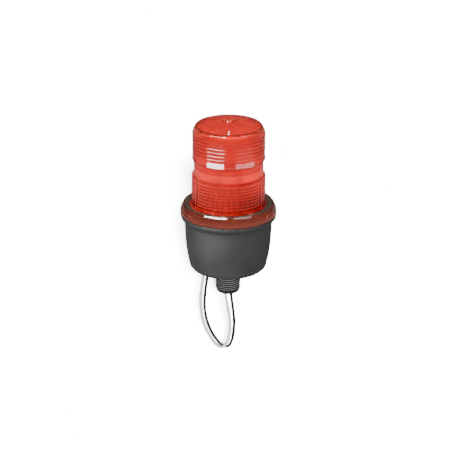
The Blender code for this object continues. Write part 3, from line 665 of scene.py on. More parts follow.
def dome_inside(sizes):
    """The bore of the skirt, the wall with its flutes, and the rings under the crown."""
    outline = mm((38.6, 0), (38.4, 0.2), base=SKIRT_LOW)
    outline += mm((38.4, 78.5), (38, 78.9), (29.2, 78.9), (29.1, 79.5))
    for low, high, r_low, r_high in ((0.0815, 0.1050, 0.0291, 0.0289),
                                     (0.1068, 0.1136, 0.0276, 0.0275),
                                     (0.1148, 0.1200, 0.0272, 0.0272),
                                     (0.1216, 0.1440, 0.0286, 0.0273)):
        outline += [(r_low + (r_high - r_low) * i / 8, low + (high - low) * i / 8)
                    for i in range(9)]
    outline += mm((27.2, 148), (26.1, 148.4))
    points, under, ball = 44, 0.1524, 0.088
    for i in range(points):
        r = 0.0258 - 0.0236 * i / (points - 1)
        wave = sizes.ring_depth * abs(sin(pi * r / sizes.ring_pitch))
        outline.append((r, under - r * r / (2 * ball) - wave))
    return outline + [(0.0, under)]


class STROBE_OT_dome(bpy.types.Operator):
    """Build the red dome with its ribs, flutes, crown rings, skirt and thread"""

    bl_idname = "strobe.dome"
    bl_label = "Dome"

    def execute(self, context):
        sizes, colours = context.scene.strobe_sizes, context.scene.strobe_colours
        bm = turned(dome_outside(sizes) + dome_inside(sizes), sizes.steps)
        bmesh.ops.remove_doubles(bm, verts=bm.verts, dist=1e-6)
        for vert in bm.verts:
            radius = vert.co.xy.length
            if 0.0265 < radius < 0.02915:
                wave = 0.5 + 0.5 * cos(sizes.flutes * atan2(vert.co.y, vert.co.x))
                # Full flutes in the lower band, faint ones in the upper
                for low, high, share in ((0.0806, 0.1056, 1.0), (0.1206, 0.1445, 0.15)):
                    if low < vert.co.z < high:
                        fade = min(1.0, (vert.co.z - low) / MM, (high - vert.co.z) / MM)
                        vert.co.xy *= 1 - sizes.flute_depth * share * wave * fade / radius
        # The skirt's thread: half a pitch from the neck's, which starts at the same lip
        bore, crest, low = 0.03855, 0.0369, SKIRT_LOW + 0.9 * MM
        section = [(bore, -0.20), (crest, -0.12), (crest, 0.12), (bore, 0.20)]
        lead = (low - LIP_TOP) / sizes.dome_pitch - 0.26
        wind(bm, section, low, 0.0779, sizes.dome_pitch, 60, lead)
        piece("dome", bm, lens_finish(sizes, colours.lens), ["dome_lens"], "dome", sharp=7)
        return {"FINISHED"}


class STROBE_OT_gasket(bpy.types.Operator):
    """Build the flattened rubber ring under the dome's plate"""

    bl_idname = "strobe.gasket"
    bl_label = "Dome gasket"

    def execute(self, context):
        colours = context.scene.strobe_colours
        low, high = heights("dome_gasket")
        middle, half = (low + high) / 2, (high - low) / 2
        outline = [(0.0350 + 1.45 * half * cos(a), middle + half * sin(a))
                   for a in (2 * pi * i / 14 for i in range(14))]
        piece("gasket", turned(outline, 120), rubber_finish(colours.rubber), ["dome_gasket"],
              "seal", sharp=60)
        return {"FINISHED"}


# ---------------------------------------------------------------- housing

def post(bm, spot, low, high, depth):
    """A screw post with a pilot hole down from its top."""
    turned([(0, low), (0.0032, low)]
           + mm((3.2, -0.3), (2.9, 0), (1.8, 0), (1.5, -0.3), base=high)
           + mm((1.5, 0), (0, -0.4), base=high - depth), 24, bm, spot)


class STROBE_OT_housing(bpy.types.Operator):
    """Build the bowl with its lip, threaded neck, posts and bosses"""

    bl_idname = "strobe.housing"
    bl_label = "Housing"

    def execute(self, context):
        sizes, colours = context.scene.strobe_sizes, context.scene.strobe_colours
        floor_top, seat = BOWL_LOW + 2.6 * MM, BOWL_LOW + 0.6 * MM
        outside = (
            [(0.0103, seat), (0.0134, seat), (0.0134, BOWL_LOW), (0.0271, BOWL_LOW)]
            + arc((0.0271, 0.0280), 0.0061, -84, -6, 12)
            + mm((33.4, 28.8), (34, 31.2), (34.6, 34), (35.1, 37), (35.6, 40.2), (36.2, 45.5),
                 (36.7, 54), (37, 62), (37.3, 65.5), (37.6, 66.6))
            + arc((0.03610, 0.0713), 0.00465, -58, 0, 10)
            + [(FLANGE, LIP_TOP - 0.15 * MM), (FLANGE - 0.15 * MM, LIP_TOP)]
        )
        neck = mm((36.6, 0), (36.4, 0.2), base=LIP_TOP)
        neck += mm((36.4, -0.4), (36, 0), (34.1, 0), (33.8, -0.3), base=NECK_HIGH)
        inside = mm((33.8, 66), (34.2, 62), (33.4, 45), (32, 36), (30.4, 28.8), (28.6, 25.6))
        inside += [(0.0266, floor_top), (0.0103, floor_top)]
        bm = turned(outside + neck + inside, 160)
        start = LIP_TOP + 0.76 * sizes.dome_pitch
        wind_ridge(bm, 0.0362, 0.0379, start, NECK_HIGH, sizes.dome_pitch, 72, 0.24, 0.14)
        for angle in POST_ANGLES:
            post(bm, around(POST_RING, angle), floor_top - MM, BOARD_LOW - 0.3 * MM, 0.0092)
        for angle in BOSS_ANGLES:
            post(bm, around(BOSS_RING, angle), 0.058, DECK_LOW - 0.3 * MM, 0.0102)
        finish = moulded_finish("housing_grey", colours.bowl, 0.56)
        piece("bowl_housing", bm, finish, ["housing"])
        return {"FINISHED"}


# ---------------------------------------------------------------- nipple

class STROBE_OT_nipple(bpy.types.Operator):
    """Build the threaded pipe nipple with its collar, washer, locknut and potting"""

    bl_idname = "strobe.nipple"
    bl_label = "Pipe nipple"

    def execute(self, context):
        sizes, colours = context.scene.strobe_sizes, context.scene.strobe_colours
        black = moulded_finish("nipple_black", colours.nipple, 0.24, 900, 0.00002)
        crest = 0.01066
        # Painted highlight: the thread's crests are painted pale
        painted_crest_highlights(black, colours.nipple, 0.0105, crest)
        top = BOWL_LOW + 0.3 * MM
        bm = turned(
            mm((7.9, 0.4), (8.3, 0), (9, 0), (9.5, 0.6), (9.5, 17.4), (10.4, 17.7), (10.4, 19),
               (12.5, 19), (12.8, 19.3))
            + mm((12.8, -0.2), (12.6, 0), (9.9, 0), base=top)
            + mm((9.9, -0.5), (9.4, 0), (8.3, 0), (7.9, -0.4), base=NIPPLE_HIGH), 96)
        wind_ridge(bm, 0.0093, crest, 0.0011, 0.0176, sizes.pipe_pitch, 64)
        wind_ridge(bm, 0.0098, 0.0102, top + 2.4 * MM, NIPPLE_HIGH, 1.2 * MM, 48)
        piece("nipple", bm, black, ["pipe_nipple"])

        low, high = heights("nipple_washer")
        washer = turned(mm((10.4, 0), (14.75, 0), (15, 0.25), base=low)
                        + mm((15, -0.25), (14.75, 0), (10.4, 0), base=high), 72)
        piece("washer", washer, rubber_finish(colours.rubber), ["nipple_washer"])

        low, high = heights("nipple_locknut")
        nut = bmesh.new()
        rod(nut, (0, 0, low), (0, 0, high), 0.0135 / cos(pi / 6), 6)
        zinc = metal_finish("zinc_steel", (0.55, 0.55, 0.53), 0.28)
        made = piece("locknut", tidy(nut), zinc, ["nipple_locknut"])
        carve(made, turned(mm((0, -1), (11.2, -1), (10.3, 0.4), base=low)
                           + mm((10.3, -0.4), (11.2, 1), (0, 1), base=high), 64))
        # Chamfered corners: what lies outside a double cone is cut away
        carve(made, turned(mm((13.3, -1), (20, -1), (20, 2.2), base=low), 64))
        carve(made, turned(mm((13.3, 1), (20, -2.2), (20, 1), base=high), 64))

        low, high = heights("lead_plug")
        potting = moulded_finish("potting_black", (0.025, 0.025, 0.026), 0.45, 700, 0.0001)
        bulge = mm((0, 0), (1.8, 0), (3.4, 0.1), (6.2, 0.25), (7.2, 0.1), (7.6, 0), base=low)
        bulge += mm((7.6, 0), (6, -0.4), (0, -0.3), base=high)
        piece("potting", turned(bulge, 64), potting, ["lead_plug"])
        return {"FINISHED"}


# ---------------------------------------------------------------- leads

class STROBE_OT_leads(bpy.types.Operator):
    """Hang the two supply leads and twist their stripped ends"""

    bl_idname = "strobe.leads"
    bl_label = "Supply leads"

    def execute(self, context):
        sizes, colours = context.scene.strobe_sizes, context.scene.strobe_colours
        tinned = metal_finish("tinned_copper", (0.70, 0.69, 0.66), 0.3, 1800)
        leads = (
            ("white", WHITE_ROUTE, colours.white_lead, 0.38, 0.1652),
            ("black", BLACK_ROUTE, colours.black_lead, 0.45, 0.1678),
        )
        for shade_name, route, tint, roughness, run in leads:
            end = Vector(route[-1])
            heading = (end - Vector(route[-2])).normalized()
            reach = heights(f"lead_{shade_name}_tip")[1] - end.z
            strands = twisted(end - heading * 0.3 * MM, end + heading * reach, 0.42 * MM, 6, 0.8)
            tip = wire(f"{shade_name}_lead_tip", strands, 0.24 * MM, tinned,
                       [f"lead_{shade_name}_tip"], smooth=False, resolution=2)
            finish = lead_finish(f"lead_{shade_name}", tint, roughness)
            lead = wire(f"{shade_name}_lead", [route], sizes.lead_width / 2, finish,
                        [f"lead_{shade_name}"], resolution=6)
        for shade_name, x in (("white", -2.3), ("black", 2.3)):
            route = [(x * MM, 0, heights(f"inner_lead_{shade_name}")[0])]
            route += mm((x, 0, 22), (x, 0, 38), (x, -1, 45), (x, -5, 49), (x, -12.7, 48.5))
            wire(f"inner_{shade_name}_lead", [route], sizes.lead_width / 2,
                 bpy.data.materials[f"lead_{shade_name}"], [f"inner_lead_{shade_name}"])
        return {"FINISHED"}


# ---------------------------------------------------------------- deck, socket and lamp

def screw(name, spot, low, seat, top, head, node):
    """A cross-recessed screw: tapered head, plain shank and a soft point."""
    shank = 0.0010
    bm = turned([(0, low), (0.0005, low + 0.2 * MM), (shank, low + 1.2 * MM), (shank, seat),
                 (head, top - 0.25 * MM), (head - 0.15 * MM, top), (0, top)], 24, centre=spot)
    made = piece(name, bm, bpy.data.materials["zinc_steel"], [node])
    cross = bmesh.new()
    for size in ((0.0026, 0.0006, 0.0014), (0.0006, 0.0026, 0.0014)):
        block(cross, size, (*spot, top))
    carve(made, cross)


class STROBE_OT_deck(bpy.types.Operator):
    """Build the lamp deck with its rim, spokes and screws"""

    bl_idname = "strobe.deck"
    bl_label = "Lamp deck"

    def execute(self, context):
        bm = turned(mm((6.5, 0), (33.1, 0), (33.4, 0.3), base=DECK_LOW)
                    + mm((33.4, -0.3), (33.1, 0), (32, 0), (31.7, -0.4), (16, -0.4), (15.5, 0),
                         (6.5, 0), base=DECK_HIGH), 120)
        for angle in range(0, 360, 15):
            if all(abs((angle - boss + 180) % 360 - 180) >= 10 for boss in BOSS_ANGLES):
                spoke = block(bm, (0.0150, 0.0009, 0.0010), (0.0240, 0, DECK_HIGH - 0.7 * MM))
                bmesh.ops.transform(bm, verts=spoke,
                                    matrix=Matrix.Rotation(radians(angle), 4, "Z"))
        rim = mm((2.9, -0.6), (3.8, -0.6), (3.8, -0.1), (3.6, 0), (2.9, 0), base=DECK_HIGH)
        hole = mm((0, -1), (1.6, -1), base=DECK_LOW)
        hole += mm((1.6, -1.5), (2.9, -0.1), (2.9, 1), (0, 1), base=DECK_HIGH)
        holes = bmesh.new()
        for angle in BOSS_ANGLES:
            turned(rim, 32, bm, around(BOSS_RING, angle))
            turned(hole, 24, holes, around(BOSS_RING, angle))
        finish = moulded_finish("deck_plastic", (0.76, 0.75, 0.71), 0.4, 1500)
        carve(piece("deck", bm, finish, ["lamp_deck"]), holes)
        for i, angle in enumerate(BOSS_ANGLES, 1):
            screw(f"deck_fixing_{i}", around(BOSS_RING, angle), DECK_HIGH - 0.011,
                  DECK_HIGH - 1.3 * MM, DECK_HIGH, 0.0025, f"deck_screw_{i}")
        return {"FINISHED"}


class STROBE_OT_socket(bpy.types.Operator):
    """Build the lamp socket with its pin holes and finger notches"""

    bl_idname = "strobe.socket"
    bl_label = "Lamp socket"

    def execute(self, context):
        colours = context.scene.strobe_colours
        finish = moulded_finish("socket_ceramic", colours.ceramic, 0.34, 800)
        foot = DECK_HIGH + 0.3 * MM
        outline = (
            mm((0, 0), (5.7, 0), (6, 0.3), base=heights("lamp_socket")[0])
            + mm((6, 0), (13.5, 0), (13.5, 1.6), (12.8, 2), base=foot)
            + mm((12.8, -1.4), (13.5, -1), (13.5, -0.4), (13.1, 0), (0, 0), base=SOCKET_HIGH)
        )
        made = piece("socket", turned(outline, 72), finish, ["lamp_socket"])
        holes = bmesh.new()
        for spot in PIN_SPOTS:
            turned(mm((0, -6.3), (1.2, -6.3), (1.2, -0.4), (1.7, 0.1), (1.7, 1), (0, 1),
                      base=SOCKET_HIGH), 20, holes, spot)
        notch = mm((0, 2.6), (1.6, 2.6), base=foot) + mm((1.6, 1), (0, 1), base=SOCKET_HIGH)
        for angle in (45, 135, 225, 315):
            turned(notch, 20, holes, around(0.0140, angle))
        carve(made, holes)
        return {"FINISHED"}


class STROBE_OT_lamp(bpy.types.Operator):
    """Build the plug-in flash tube with its base, electrodes and trigger wire"""

    bl_idname = "strobe.lamp"
    bl_label = "Flash tube"

    def execute(self, context):
        colours = context.scene.strobe_colours
        nickel = metal_finish("trigger_nickel", (0.60, 0.58, 0.52), 0.3, 2000)
        bm = turned(mm((0, 0), (12.6, 0), (13, 0.4), base=BASE_LOW)
                    + mm((13, -1.3), (12.2, -0.9), (12.2, -0.4), (11.8, 0), (0, 0),
                         base=BASE_HIGH), 72)
        for spot in PIN_SPOTS:
            turned(mm((0, -5.5), (0.5, -5.5), (0.8, -5), (0.8, 1), (0, 1), base=BASE_LOW),
                   16, bm, spot)
        piece("lamp_foot", bm, bpy.data.materials["socket_ceramic"], ["lamp_base"], "lamp")

        leg, bend, radius = 0.009, 0.105, 0.0026
        brass = metal_finish("electrode_brass", colours.brass, 0.2)
        for name, side in (("anode", -1), ("cathode", 1)):
            low, high = heights(f"tube_{name}")
            cap = turned(mm((0, 0), (2.4, 0), (2.4, 1.1), (2.1, 1.3), base=low)
                         + mm((2.1, -1.5), (2.4, -1.2), (2.4, -0.3), (2.1, 0), (0, 0),
                              base=high), 32, centre=(side * leg, 0.0))
            piece(f"{name}_cap", cap, brass, [f"tube_{name}"], "lamp")

        over = [(-leg * cos(radians(a)), 0, bend + leg * sin(radians(a)))
                for a in range(0, 181, 10)]
        wire("glass_tube", [[(-leg, 0, TUBE_LOW), *over, (leg, 0, TUBE_LOW)]], radius,
             glass_finish(), ["flash_tube"], "lamp", smooth=False, resolution=6)
        pins = bmesh.new()
        for x in (-leg, leg):
            for low, high, thick, end, sides in ((0.2, 5.5, 0.5, 0.5, 12), (5.2, 8, 1.2, 0.9, 16)):
                rod(pins, (x, 0, TUBE_LOW + low * MM), (x, 0, TUBE_LOW + high * MM),
                    thick * MM, sides, end * MM)
        piece("tube_electrodes", pins, nickel, [], "lamp")
        coil = self.coil(leg, bend, radius + 0.55 * MM)
        wire("trigger_winding", [coil], 0.3 * MM, nickel, ["trigger_wire"], "lamp",
             smooth=False, resolution=2)
        return {"FINISHED"}

    def coil(self, leg, bend, offset):
        """A helix round the tube: up one leg, over the bend and down the other."""
        start, turns, per_turn = 0.0965, 7, 24
        straight = bend - start
        run = 2 * straight + pi * leg
        route = []
        for i in range(turns * per_turn + 1):
            along = run * i / (turns * per_turn)
            if along < straight:
                centre, out = Vector((-leg, 0, start + along)), Vector((-1, 0, 0))
            elif along < run - straight:
                a = (along - straight) / leg
                out = Vector((-cos(a), 0, sin(a)))
                centre = Vector((0, 0, bend)) + leg * out
            else:
                centre, out = Vector((leg, 0, start + run - along)), Vector((1, 0, 0))
            twist = 2 * pi * i / per_turn
            route.append(centre + offset * (out * cos(twist) + Vector((0, 1, 0)) * sin(twist)))
        return route


# ---------------------------------------------------------------- circuit board

def span(node):
    """A node's middle in plan, its lowest and highest height, and its size."""
    low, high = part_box(node)
    middle = (low + high) / 2
    return Vector((middle.x, middle.y)), low.z, high.z, high - low


def brick(name, node, finish, edge, segments=2):
    """A rounded block that fills a node's box."""
    middle, low, high, size = span(node)
    bm = bmesh.new()
    block(bm, size, (*middle, (low + high) / 2), edge, segments)
    return piece(name, bm, finish, [node])


class STROBE_OT_board(bpy.types.Operator):
    """Build the round circuit board with its screws and solder joints"""

    bl_idname = "strobe.board"
    bl_label = "Circuit board"

    def execute(self, context):
        colours = context.scene.strobe_colours
        solder = metal_finish("solder", (0.62, 0.62, 0.60), 0.25, 2500)
        bm = turned(mm((6, 0), (30.85, 0), (31, 0.15), base=BOARD_LOW)
                    + mm((31, -0.15), (30.85, 0), (6, 0), base=BOARD_HIGH), 96)
        made = piece("board", bm, board_finish(colours.board), ["circuit_board"])
        holes = bmesh.new()
        for angle in POST_ANGLES:
            spot = around(POST_RING, angle)
            rod(holes, (*spot, BOARD_LOW - MM), (*spot, BOARD_HIGH + MM), 0.0016, 20)
        carve(made, holes)
        for i, angle in enumerate(POST_ANGLES, 1):
            screw(f"board_fixing_{i}", around(POST_RING, angle), BOARD_HIGH - 8.2 * MM,
                  BOARD_HIGH + 0.3 * MM, BOARD_HIGH + 2.0 * MM, 0.0027, f"board_screw_{i}")
        shade_spots = []
        for node in AXIALS:
            middle, _, _, size = span(node)
            shade_spots += [(middle.x + side * (size.x / 2 - 0.3 * MM), middle.y) for side in (-1, 1)]
        shade_spots.append(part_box("anode_wire")[0].xy)
        low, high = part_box("cathode_wire")
        shade_spots.append((high.x, low.y))
        # Each joint is a ring pad with a small cone of solder
        joint = mm((0, -0.1), (1.3, -0.1), (1.3, 0.06), (0.8, 0.1), (0.5, 0.25), (0, 0.28),
                   base=BOARD_HIGH)
        joints = bmesh.new()
        for spot in shade_spots:
            turned(joint, 12, joints, spot)
        piece("solder_joints", joints, solder)
        return {"FINISHED"}


class STROBE_OT_transformer(bpy.types.Operator):
    """Build the ferrite core and the wound coil round its middle limb"""

    bl_idname = "strobe.transformer"
    bl_label = "Transformer"

    def execute(self, context):
        middle, low, high, size = span("transformer_core")
        grey = moulded_finish("ferrite", (0.045, 0.045, 0.05), 0.5, 1200)
        made = brick("ferrite_core", "transformer_core", grey, 0.35 * MM)
        windows = bmesh.new()
        for side in (-1, 1):
            block(windows, (0.0055, 0.02, 0.011),
                  (middle.x + side * 0.00525, middle.y, low + 0.0085), 0.3 * MM)
        seam = (low + high) / 2 + 1.5 * MM
        for face in (-1, 1):
            block(windows, (0.03, 0.0004, 0.0003), (middle.x, middle.y + face * size.y / 2, seam))
        carve(made, windows)

        middle, low, high, size = span("transformer_winding")
        copper = metal_finish("copper_winding", (0.62, 0.25, 0.09), 0.26, 2600)
        turns = 14
        pitch = (high - low - 1.6 * MM) / turns
        coil = bmesh.new()
        for i in range(turns):
            block(coil, (size.x - 1.2 * MM, size.y - 1.2 * MM, pitch * 1.05),
                  (*middle, low + 0.8 * MM + pitch * (i + 0.5)), pitch * 0.45, 3)
        for z in (low + 0.4 * MM, high - 0.4 * MM):
            block(coil, (size.x, size.y, 0.8 * MM), (*middle, z), 0.3 * MM)
        wound = piece("copper_coil", coil, copper, ["transformer_winding"])
        limb = bmesh.new()
        block(limb, (0.0057, 0.0057, 0.03), (*middle, low))
        carve(wound, limb)
        return {"FINISHED"}


class STROBE_OT_cans(bpy.types.Operator):
    """Build the upright round parts: the flash capacitor and the trigger coil"""

    bl_idname = "strobe.cans"
    bl_label = "Capacitor and coil"

    def execute(self, context):
        middle, low, high, size = span("flash_capacitor")
        radius = size.x / 2
        sleeve = banded_finish("capacitor_sleeve", (0.016, 0.016, 0.022),
                               [(0.16, 0.34, (0.35, 0.36, 0.36))], 0,
                               middle.x - radius, middle.x + radius)
        # Each corner of the can: how far in from its radius and up from its foot, or its top
        feet = ((1.2, 0), (0.3, 0.4), (0, 1), (0, 2.2), (0.6, 2.9), (0, 3.6))
        tops = ((0, 0.8), (0.3, 0.2), (1.1, 0), (1.5, 0.5))
        outline = [(0, low), *((radius - inset * MM, low + up * MM) for inset, up in feet),
                   *((radius - inset * MM, high - down * MM) for inset, down in tops),
                   (0, high - 0.5 * MM)]
        can = piece("storage_capacitor", turned(outline, 64, centre=middle), sleeve,
                    ["flash_capacitor"])
        vents = bmesh.new()
        for across in ((0.0090, 0.0003, 0.0006), (0.0003, 0.0090, 0.0006)):
            block(vents, across, (*middle, high - 0.5 * MM))
        carve(can, vents)

        middle, low, high, size = span("trigger_coil")
        radius = size.x / 2
        black = (0.03, 0.03, 0.03)
        tape = banded_finish("coil_tape", (0.58, 0.43, 0.10),
                             [(0.0, 0.1, black), (0.9, 0.98, black)], 2, low, high)
        outline = [(0, low), (radius, low), (radius, low + MM)]
        layers = 7
        for i in range(layers):
            z = low + 1.2 * MM + (high - low - 2.4 * MM) * i / layers
            outline += [(radius - 0.5 * MM, z), (radius - 0.35 * MM, z + 0.9 * MM)]
        outline += [(radius, high - MM), (radius, high)]
        outline += mm((1.2, 0), (1.2, -1.5), (0, -1.5), base=high)
        piece("pulse_coil", turned(outline, 40, centre=middle), tape, ["trigger_coil"])
        return {"FINISHED"}


class STROBE_OT_axials(bpy.types.Operator):
    """Build the resistors and diodes that lie on bent legs"""

    bl_idname = "strobe.axials"
    bl_label = "Resistors and diodes"

    def execute(self, context):
        rings = [(0.20, (0.30, 0.08, 0.02)), (0.36, (0.02, 0.02, 0.02)),
                 (0.52, (0.60, 0.18, 0.02)), (0.76, (0.55, 0.40, 0.10))]
        mark, black, waist = [(0.76, (0.6, 0.6, 0.6))], (0.018, 0.018, 0.018), 0.84
        self.axial(AXIALS[0], (0.55, 0.42, 0.25), rings, "resistor_tan", waist)
        self.axial(AXIALS[1], (0.50, 0.40, 0.28), rings, "resistor_tan", waist)
        self.axial(AXIALS[2], black, mark, "diode_black", 1.0)
        self.axial(AXIALS[3], black, mark, "diode_black", 1.0)
        return {"FINISHED"}

    def axial(self, node, tint, marks, slot, waist):
        """A body with rings of colour, drawn in to its waist, and its two legs."""
        middle, low, _, size = span(node)
        radius, half = 0.0013, size.x * 0.27
        z = low + 2.5 * MM
        bands = [(at, at + 0.08, ring) for at, ring in marks]
        finish = banded_finish(f"{node}_lacquer", tint, bands, 0, middle.x - half,
                               middle.x + half)
        end = ((0.0, 1.0), (0.7, 1.0), (1.0, 0.86), (1.0, 0.62), (waist, 0.50))
        outline = [(radius * out, -half * along) for out, along in end]
        bm = turned(outline + [(r, -along) for r, along in outline[::-1]], 28)
        bmesh.ops.transform(bm, verts=bm.verts, matrix=Matrix.Translation((*middle, z))
                            @ Matrix.Rotation(pi / 2, 4, "Y"))
        piece(f"{node}_body", bm, finish, [node])
        routes = []
        for side in (-1, 1):
            reach = middle.x + side * (size.x / 2 - 0.35 * MM)
            routes.append([(middle.x + side * (half - 0.2 * MM), middle.y, z),
                           (reach - side * 0.8 * MM, middle.y, z),
                           (reach - side * 0.25 * MM, middle.y, z - 0.25 * MM),
                           (reach, middle.y, z - 0.8 * MM), (reach, middle.y, low)])
        wire(f"{node}_legs", routes, 0.28 * MM, bpy.data.materials["solder"],
             smooth=False, resolution=2)


class STROBE_OT_blocks(bpy.types.Operator):
    """Build the film capacitor, the terminal block and the power transistor"""

    bl_idname = "strobe.blocks"
    bl_label = "Blocks"

    def execute(self, context):
        dipped = moulded_finish("film_capacitor", (0.38, 0.045, 0.025), 0.25, 500, 0.00008)
        brick("film_capacitor_body", "film_capacitor", dipped, 1.6 * MM, 4)
        self.terminals()
        self.transistor()
        return {"FINISHED"}

    def terminals(self):
        """The terminal block's body with its wells, and the slotted screws in them."""
        middle, low, high, size = span("terminal_block")
        green = moulded_finish("terminal_green", (0.03, 0.24, 0.09), 0.38)
        made = brick("terminal_body", "terminal_block", green, 0.4 * MM)
        wells, heads, slots = bmesh.new(), bmesh.new(), bmesh.new()
        for x in (middle.x - 0.0024, middle.x + 0.0024):
            rod(wells, (x, middle.y, high - 3.0 * MM), (x, middle.y, high + MM), 0.0018, 24)
            for side, deep in ((1, 0.003), (-1, 0.0012)):
                block(wells, (0.0030, deep, 0.0028),
                      (x, middle.y + side * size.y / 2, low + 2.6 * MM))
            turned(mm((0, -3.2), (1.6, -3.2), (1.6, -1.5), (1.3, -1.2), (0, -1.2), base=high),
                   20, heads, (x, middle.y))
            block(slots, (0.0040, 0.0005, 0.0008), (x, middle.y, high - 1.2 * MM))
        carve(made, wells)
        carve(piece("terminal_screws", heads, bpy.data.materials["zinc_steel"]), slots)

    def transistor(self):
        """The transistor's moulded body and its metal tab with a hole."""
        middle, low, high, size = span("power_transistor")
        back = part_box("power_transistor")[0].y
        epoxy = moulded_finish("epoxy_black", (0.02, 0.02, 0.021), 0.42, 1800)
        body, plate, hole = bmesh.new(), bmesh.new(), bmesh.new()
        block(body, (size.x, size.y, 0.0090), (*middle, low + 0.0045), 0.3 * MM)
        piece("transistor_body", body, epoxy, ["power_transistor"])
        block(plate, (size.x, 0.0013, 0.0064), (middle.x, back + 0.00068, high - 0.0032),
              0.2 * MM)
        rod(hole, (middle.x, back - MM, high - 0.0029), (middle.x, back + 0.003, high - 0.0029),
            0.0018, 24)
        carve(piece("transistor_tab", plate, bpy.data.materials["solder"]), hole)


class STROBE_OT_wires(bpy.types.Operator):
    """Run the wires from the board up to the lamp socket"""

    bl_idname = "strobe.wires"
    bl_label = "Lamp wires"

    def execute(self, context):
        start, end = (z / MM for z in heights("anode_wire"))
        coil = heights("trigger_coil")[1] / MM + 0.3
        runs = {
            "anode_wire": ((0.50, 0.015, 0.012), "wire_red",
                           mm((-7.5, 0, start), (-7.5, 0, 54), (-3.5, 0, 64), (-3, 0, end))),
            "cathode_wire": ((0.02, 0.02, 0.02), "lead_black",
                             mm((7.8, -6, start), (7.8, -6, 52), (3.5, -2, 64), (3, 0, end))),
            "trigger_lead": ((0.02, 0.05, 0.36), "wire_blue",
                             mm((11, -15, coil), (10.5, -14.5, 60), (2, -5, 67),
                                (0, -3.5, end))),
        }
        for node, (tint, slot, route) in runs.items():
            finish = lead_finish(f"{node}_skin", tint, 0.36)
            wire(f"{node}_run", [route], 0.0006, finish, [node], resolution=3)
        return {"FINISHED"}


# ---------------------------------------------------------------- stage

def aim(thing, spot, target):
    """Put a light or camera at a spot, looking at a target."""
    thing.location = spot
    thing.rotation_euler = (Vector(target) - Vector(spot)).to_track_quat("-Z", "Y").to_euler()


def toward(azimuth, elevation):
    """A direction in degrees; azimuth 0 is in front."""
    a, e = radians(azimuth), radians(elevation)
    return Vector((sin(a) * cos(e), -cos(a) * cos(e), sin(e)))


def staged(name, data):
    made = bpy.data.objects.new(name, data)
    bpy.context.scene.collection.objects.link(made)
    return made


def softbox(name, azimuth, elevation, distance, width, tall, power, tint):
    """A rectangular light that only gloss picks up, aimed at the middle of the lens."""
    lamp = bpy.data.lights.new(name, "AREA")
    lamp.shape = "RECTANGLE"
    lamp.size, lamp.size_y = width, tall
    lamp.energy = power
    lamp.color = tint
    made = staged(name, lamp)
    made.visible_diffuse = made.visible_transmission = False
    middle = Vector((0, 0, 0.11))
    aim(made, toward(azimuth, elevation) * distance + middle, middle)


def tones(owner, gloss, fill, through=3.2, seen=14.0):
    """How bright the stage looks to each kind of ray: values or sockets."""
    path = add(owner, "ShaderNodeLightPath").outputs
    tone = fill
    for ray, value in (("Is Glossy Ray", gloss), ("Is Transmission Ray", through),
                       ("Is Camera Ray", seen)):
        tone = add(owner, "ShaderNodeMix", data_type="FLOAT", Factor=path[ray], A=tone,
                   B=value).outputs["Result"]
    return tone


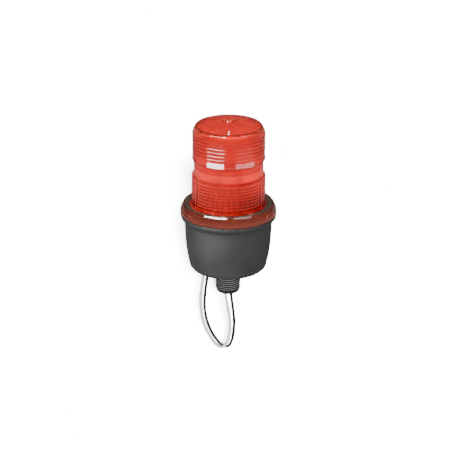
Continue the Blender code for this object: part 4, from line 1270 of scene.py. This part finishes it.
class STROBE_OT_stage(bpy.types.Operator):
    """Set out the pale floor, the soft studio lights and the camera"""

    bl_idname = "strobe.stage"
    bl_label = "Stage"

    def execute(self, context):
        self.floor()
        self.surroundings()
        for name, settings in SOFTBOXES.items():
            softbox(name, *settings)
        self.sun()
        self.camera()
        return {"FINISHED"}

    def floor(self):
        """A pale floor under the leads."""
        bm = bmesh.new()
        bmesh.ops.create_grid(bm, x_segments=1, y_segments=1, size=6.0)
        bmesh.ops.translate(bm, verts=bm.verts, vec=(0, 0, CAD_BOX[0].z - 0.012))
        paper = bpy.data.materials.new("pale_floor")
        paper.use_nodes = True
        paper.node_tree.nodes.clear()
        glow = add(paper, "ShaderNodeEmission", Color=tones(paper, 0.3, 1.5), Strength=1.0)
        diffuse = add(paper, "ShaderNodeBsdfDiffuse", Color=(29.0, 29.0, 29.0, 1))
        seen = add(paper, "ShaderNodeLightPath").outputs["Is Camera Ray"]
        mix = add(paper, "ShaderNodeMixShader", Fac=seen)
        feed(paper, mix.inputs[1], glow.outputs["Emission"])
        feed(paper, mix.inputs[2], diffuse.outputs["BSDF"])
        add(paper, "ShaderNodeOutputMaterial", Surface=mix.outputs["Shader"])
        floor = placed("floor", bm)
        floor.data.materials.append(paper)

    def surroundings(self):
        """White surroundings, dimmer in front than behind where gloss picks them up."""
        world = bpy.data.worlds.new("white_surroundings")
        bpy.context.scene.world = world
        world.use_nodes = True
        around_it = add(world, "ShaderNodeTexCoord").outputs["Generated"]
        behind = add(world, "ShaderNodeSeparateXYZ", Vector=around_it).outputs["Y"]
        gloss = remap(world, behind, -0.2, 0.8, 0.65, 2.0)
        fill = reckon(world, "MULTIPLY", gloss, 1.7)
        feed(world, world.node_tree.nodes["Background"].inputs["Strength"],
             tones(world, gloss, fill))

    def sun(self):
        """A broad key light from beside the camera: it drops the soft shadow."""
        key = bpy.data.lights.new("key", "SUN")
        key.energy = 4.0
        key.angle = 0.06
        made = staged("key", key)
        aim(made, toward(2.5, 23), (0, 0, 0))
        made.visible_glossy = made.visible_transmission = False

    def camera(self):
        """A long lens, 22 degrees above the light and 1.5 m from it."""
        elevation, distance = 22, 1.5
        target = Vector((0.0006, 0, 0.0565))
        view = bpy.data.cameras.new("camera")
        view.sensor_width = 36.0
        view.lens = 138.7
        view.clip_start = 0.05
        camera = staged("camera", view)
        aim(camera, target + distance * toward(0, elevation), target)
        camera.rotation_euler.rotate_axis("Z", radians(0.33))
        bpy.context.scene.camera = camera


# ---------------------------------------------------------------- add-on

class STROBE_PT_panel(bpy.types.Panel):
    """Sizes, colours and the steps that build the light"""

    bl_idname = "STROBE_PT_panel"
    bl_label = "Strobe light"
    bl_space_type = "VIEW_3D"
    bl_region_type = "UI"
    bl_category = "Strobe light"

    def draw(self, context):
        for group in (context.scene.strobe_sizes, context.scene.strobe_colours):
            box = self.layout.box()
            for name in group.bl_rna.properties.keys():
                if name not in ("rna_type", "name"):
                    box.prop(group, name)
        column = self.layout.column(align=True)
        for step in STEPS:
            column.operator(step.bl_idname)


STEPS = (
    STROBE_OT_leads, STROBE_OT_dome, STROBE_OT_gasket, STROBE_OT_housing, STROBE_OT_nipple,
    STROBE_OT_deck, STROBE_OT_socket, STROBE_OT_lamp, STROBE_OT_board, STROBE_OT_transformer,
    STROBE_OT_cans, STROBE_OT_axials, STROBE_OT_blocks, STROBE_OT_wires, STROBE_OT_stage,
)
CLASSES = (StrobeSizes, StrobeColours, *STEPS, STROBE_PT_panel)


def register():
    for cls in CLASSES:
        bpy.utils.register_class(cls)
    bpy.types.Scene.strobe_sizes = PointerProperty(type=StrobeSizes)
    bpy.types.Scene.strobe_colours = PointerProperty(type=StrobeColours)


def unregister():
    del bpy.types.Scene.strobe_colours
    del bpy.types.Scene.strobe_sizes
    for cls in reversed(CLASSES):
        bpy.utils.unregister_class(cls)


def main():
    register()
    for step in STEPS:
        group, name = step.bl_idname.split(".")
        getattr(getattr(bpy.ops, group), name)()


if __name__ == "__main__":
    main()
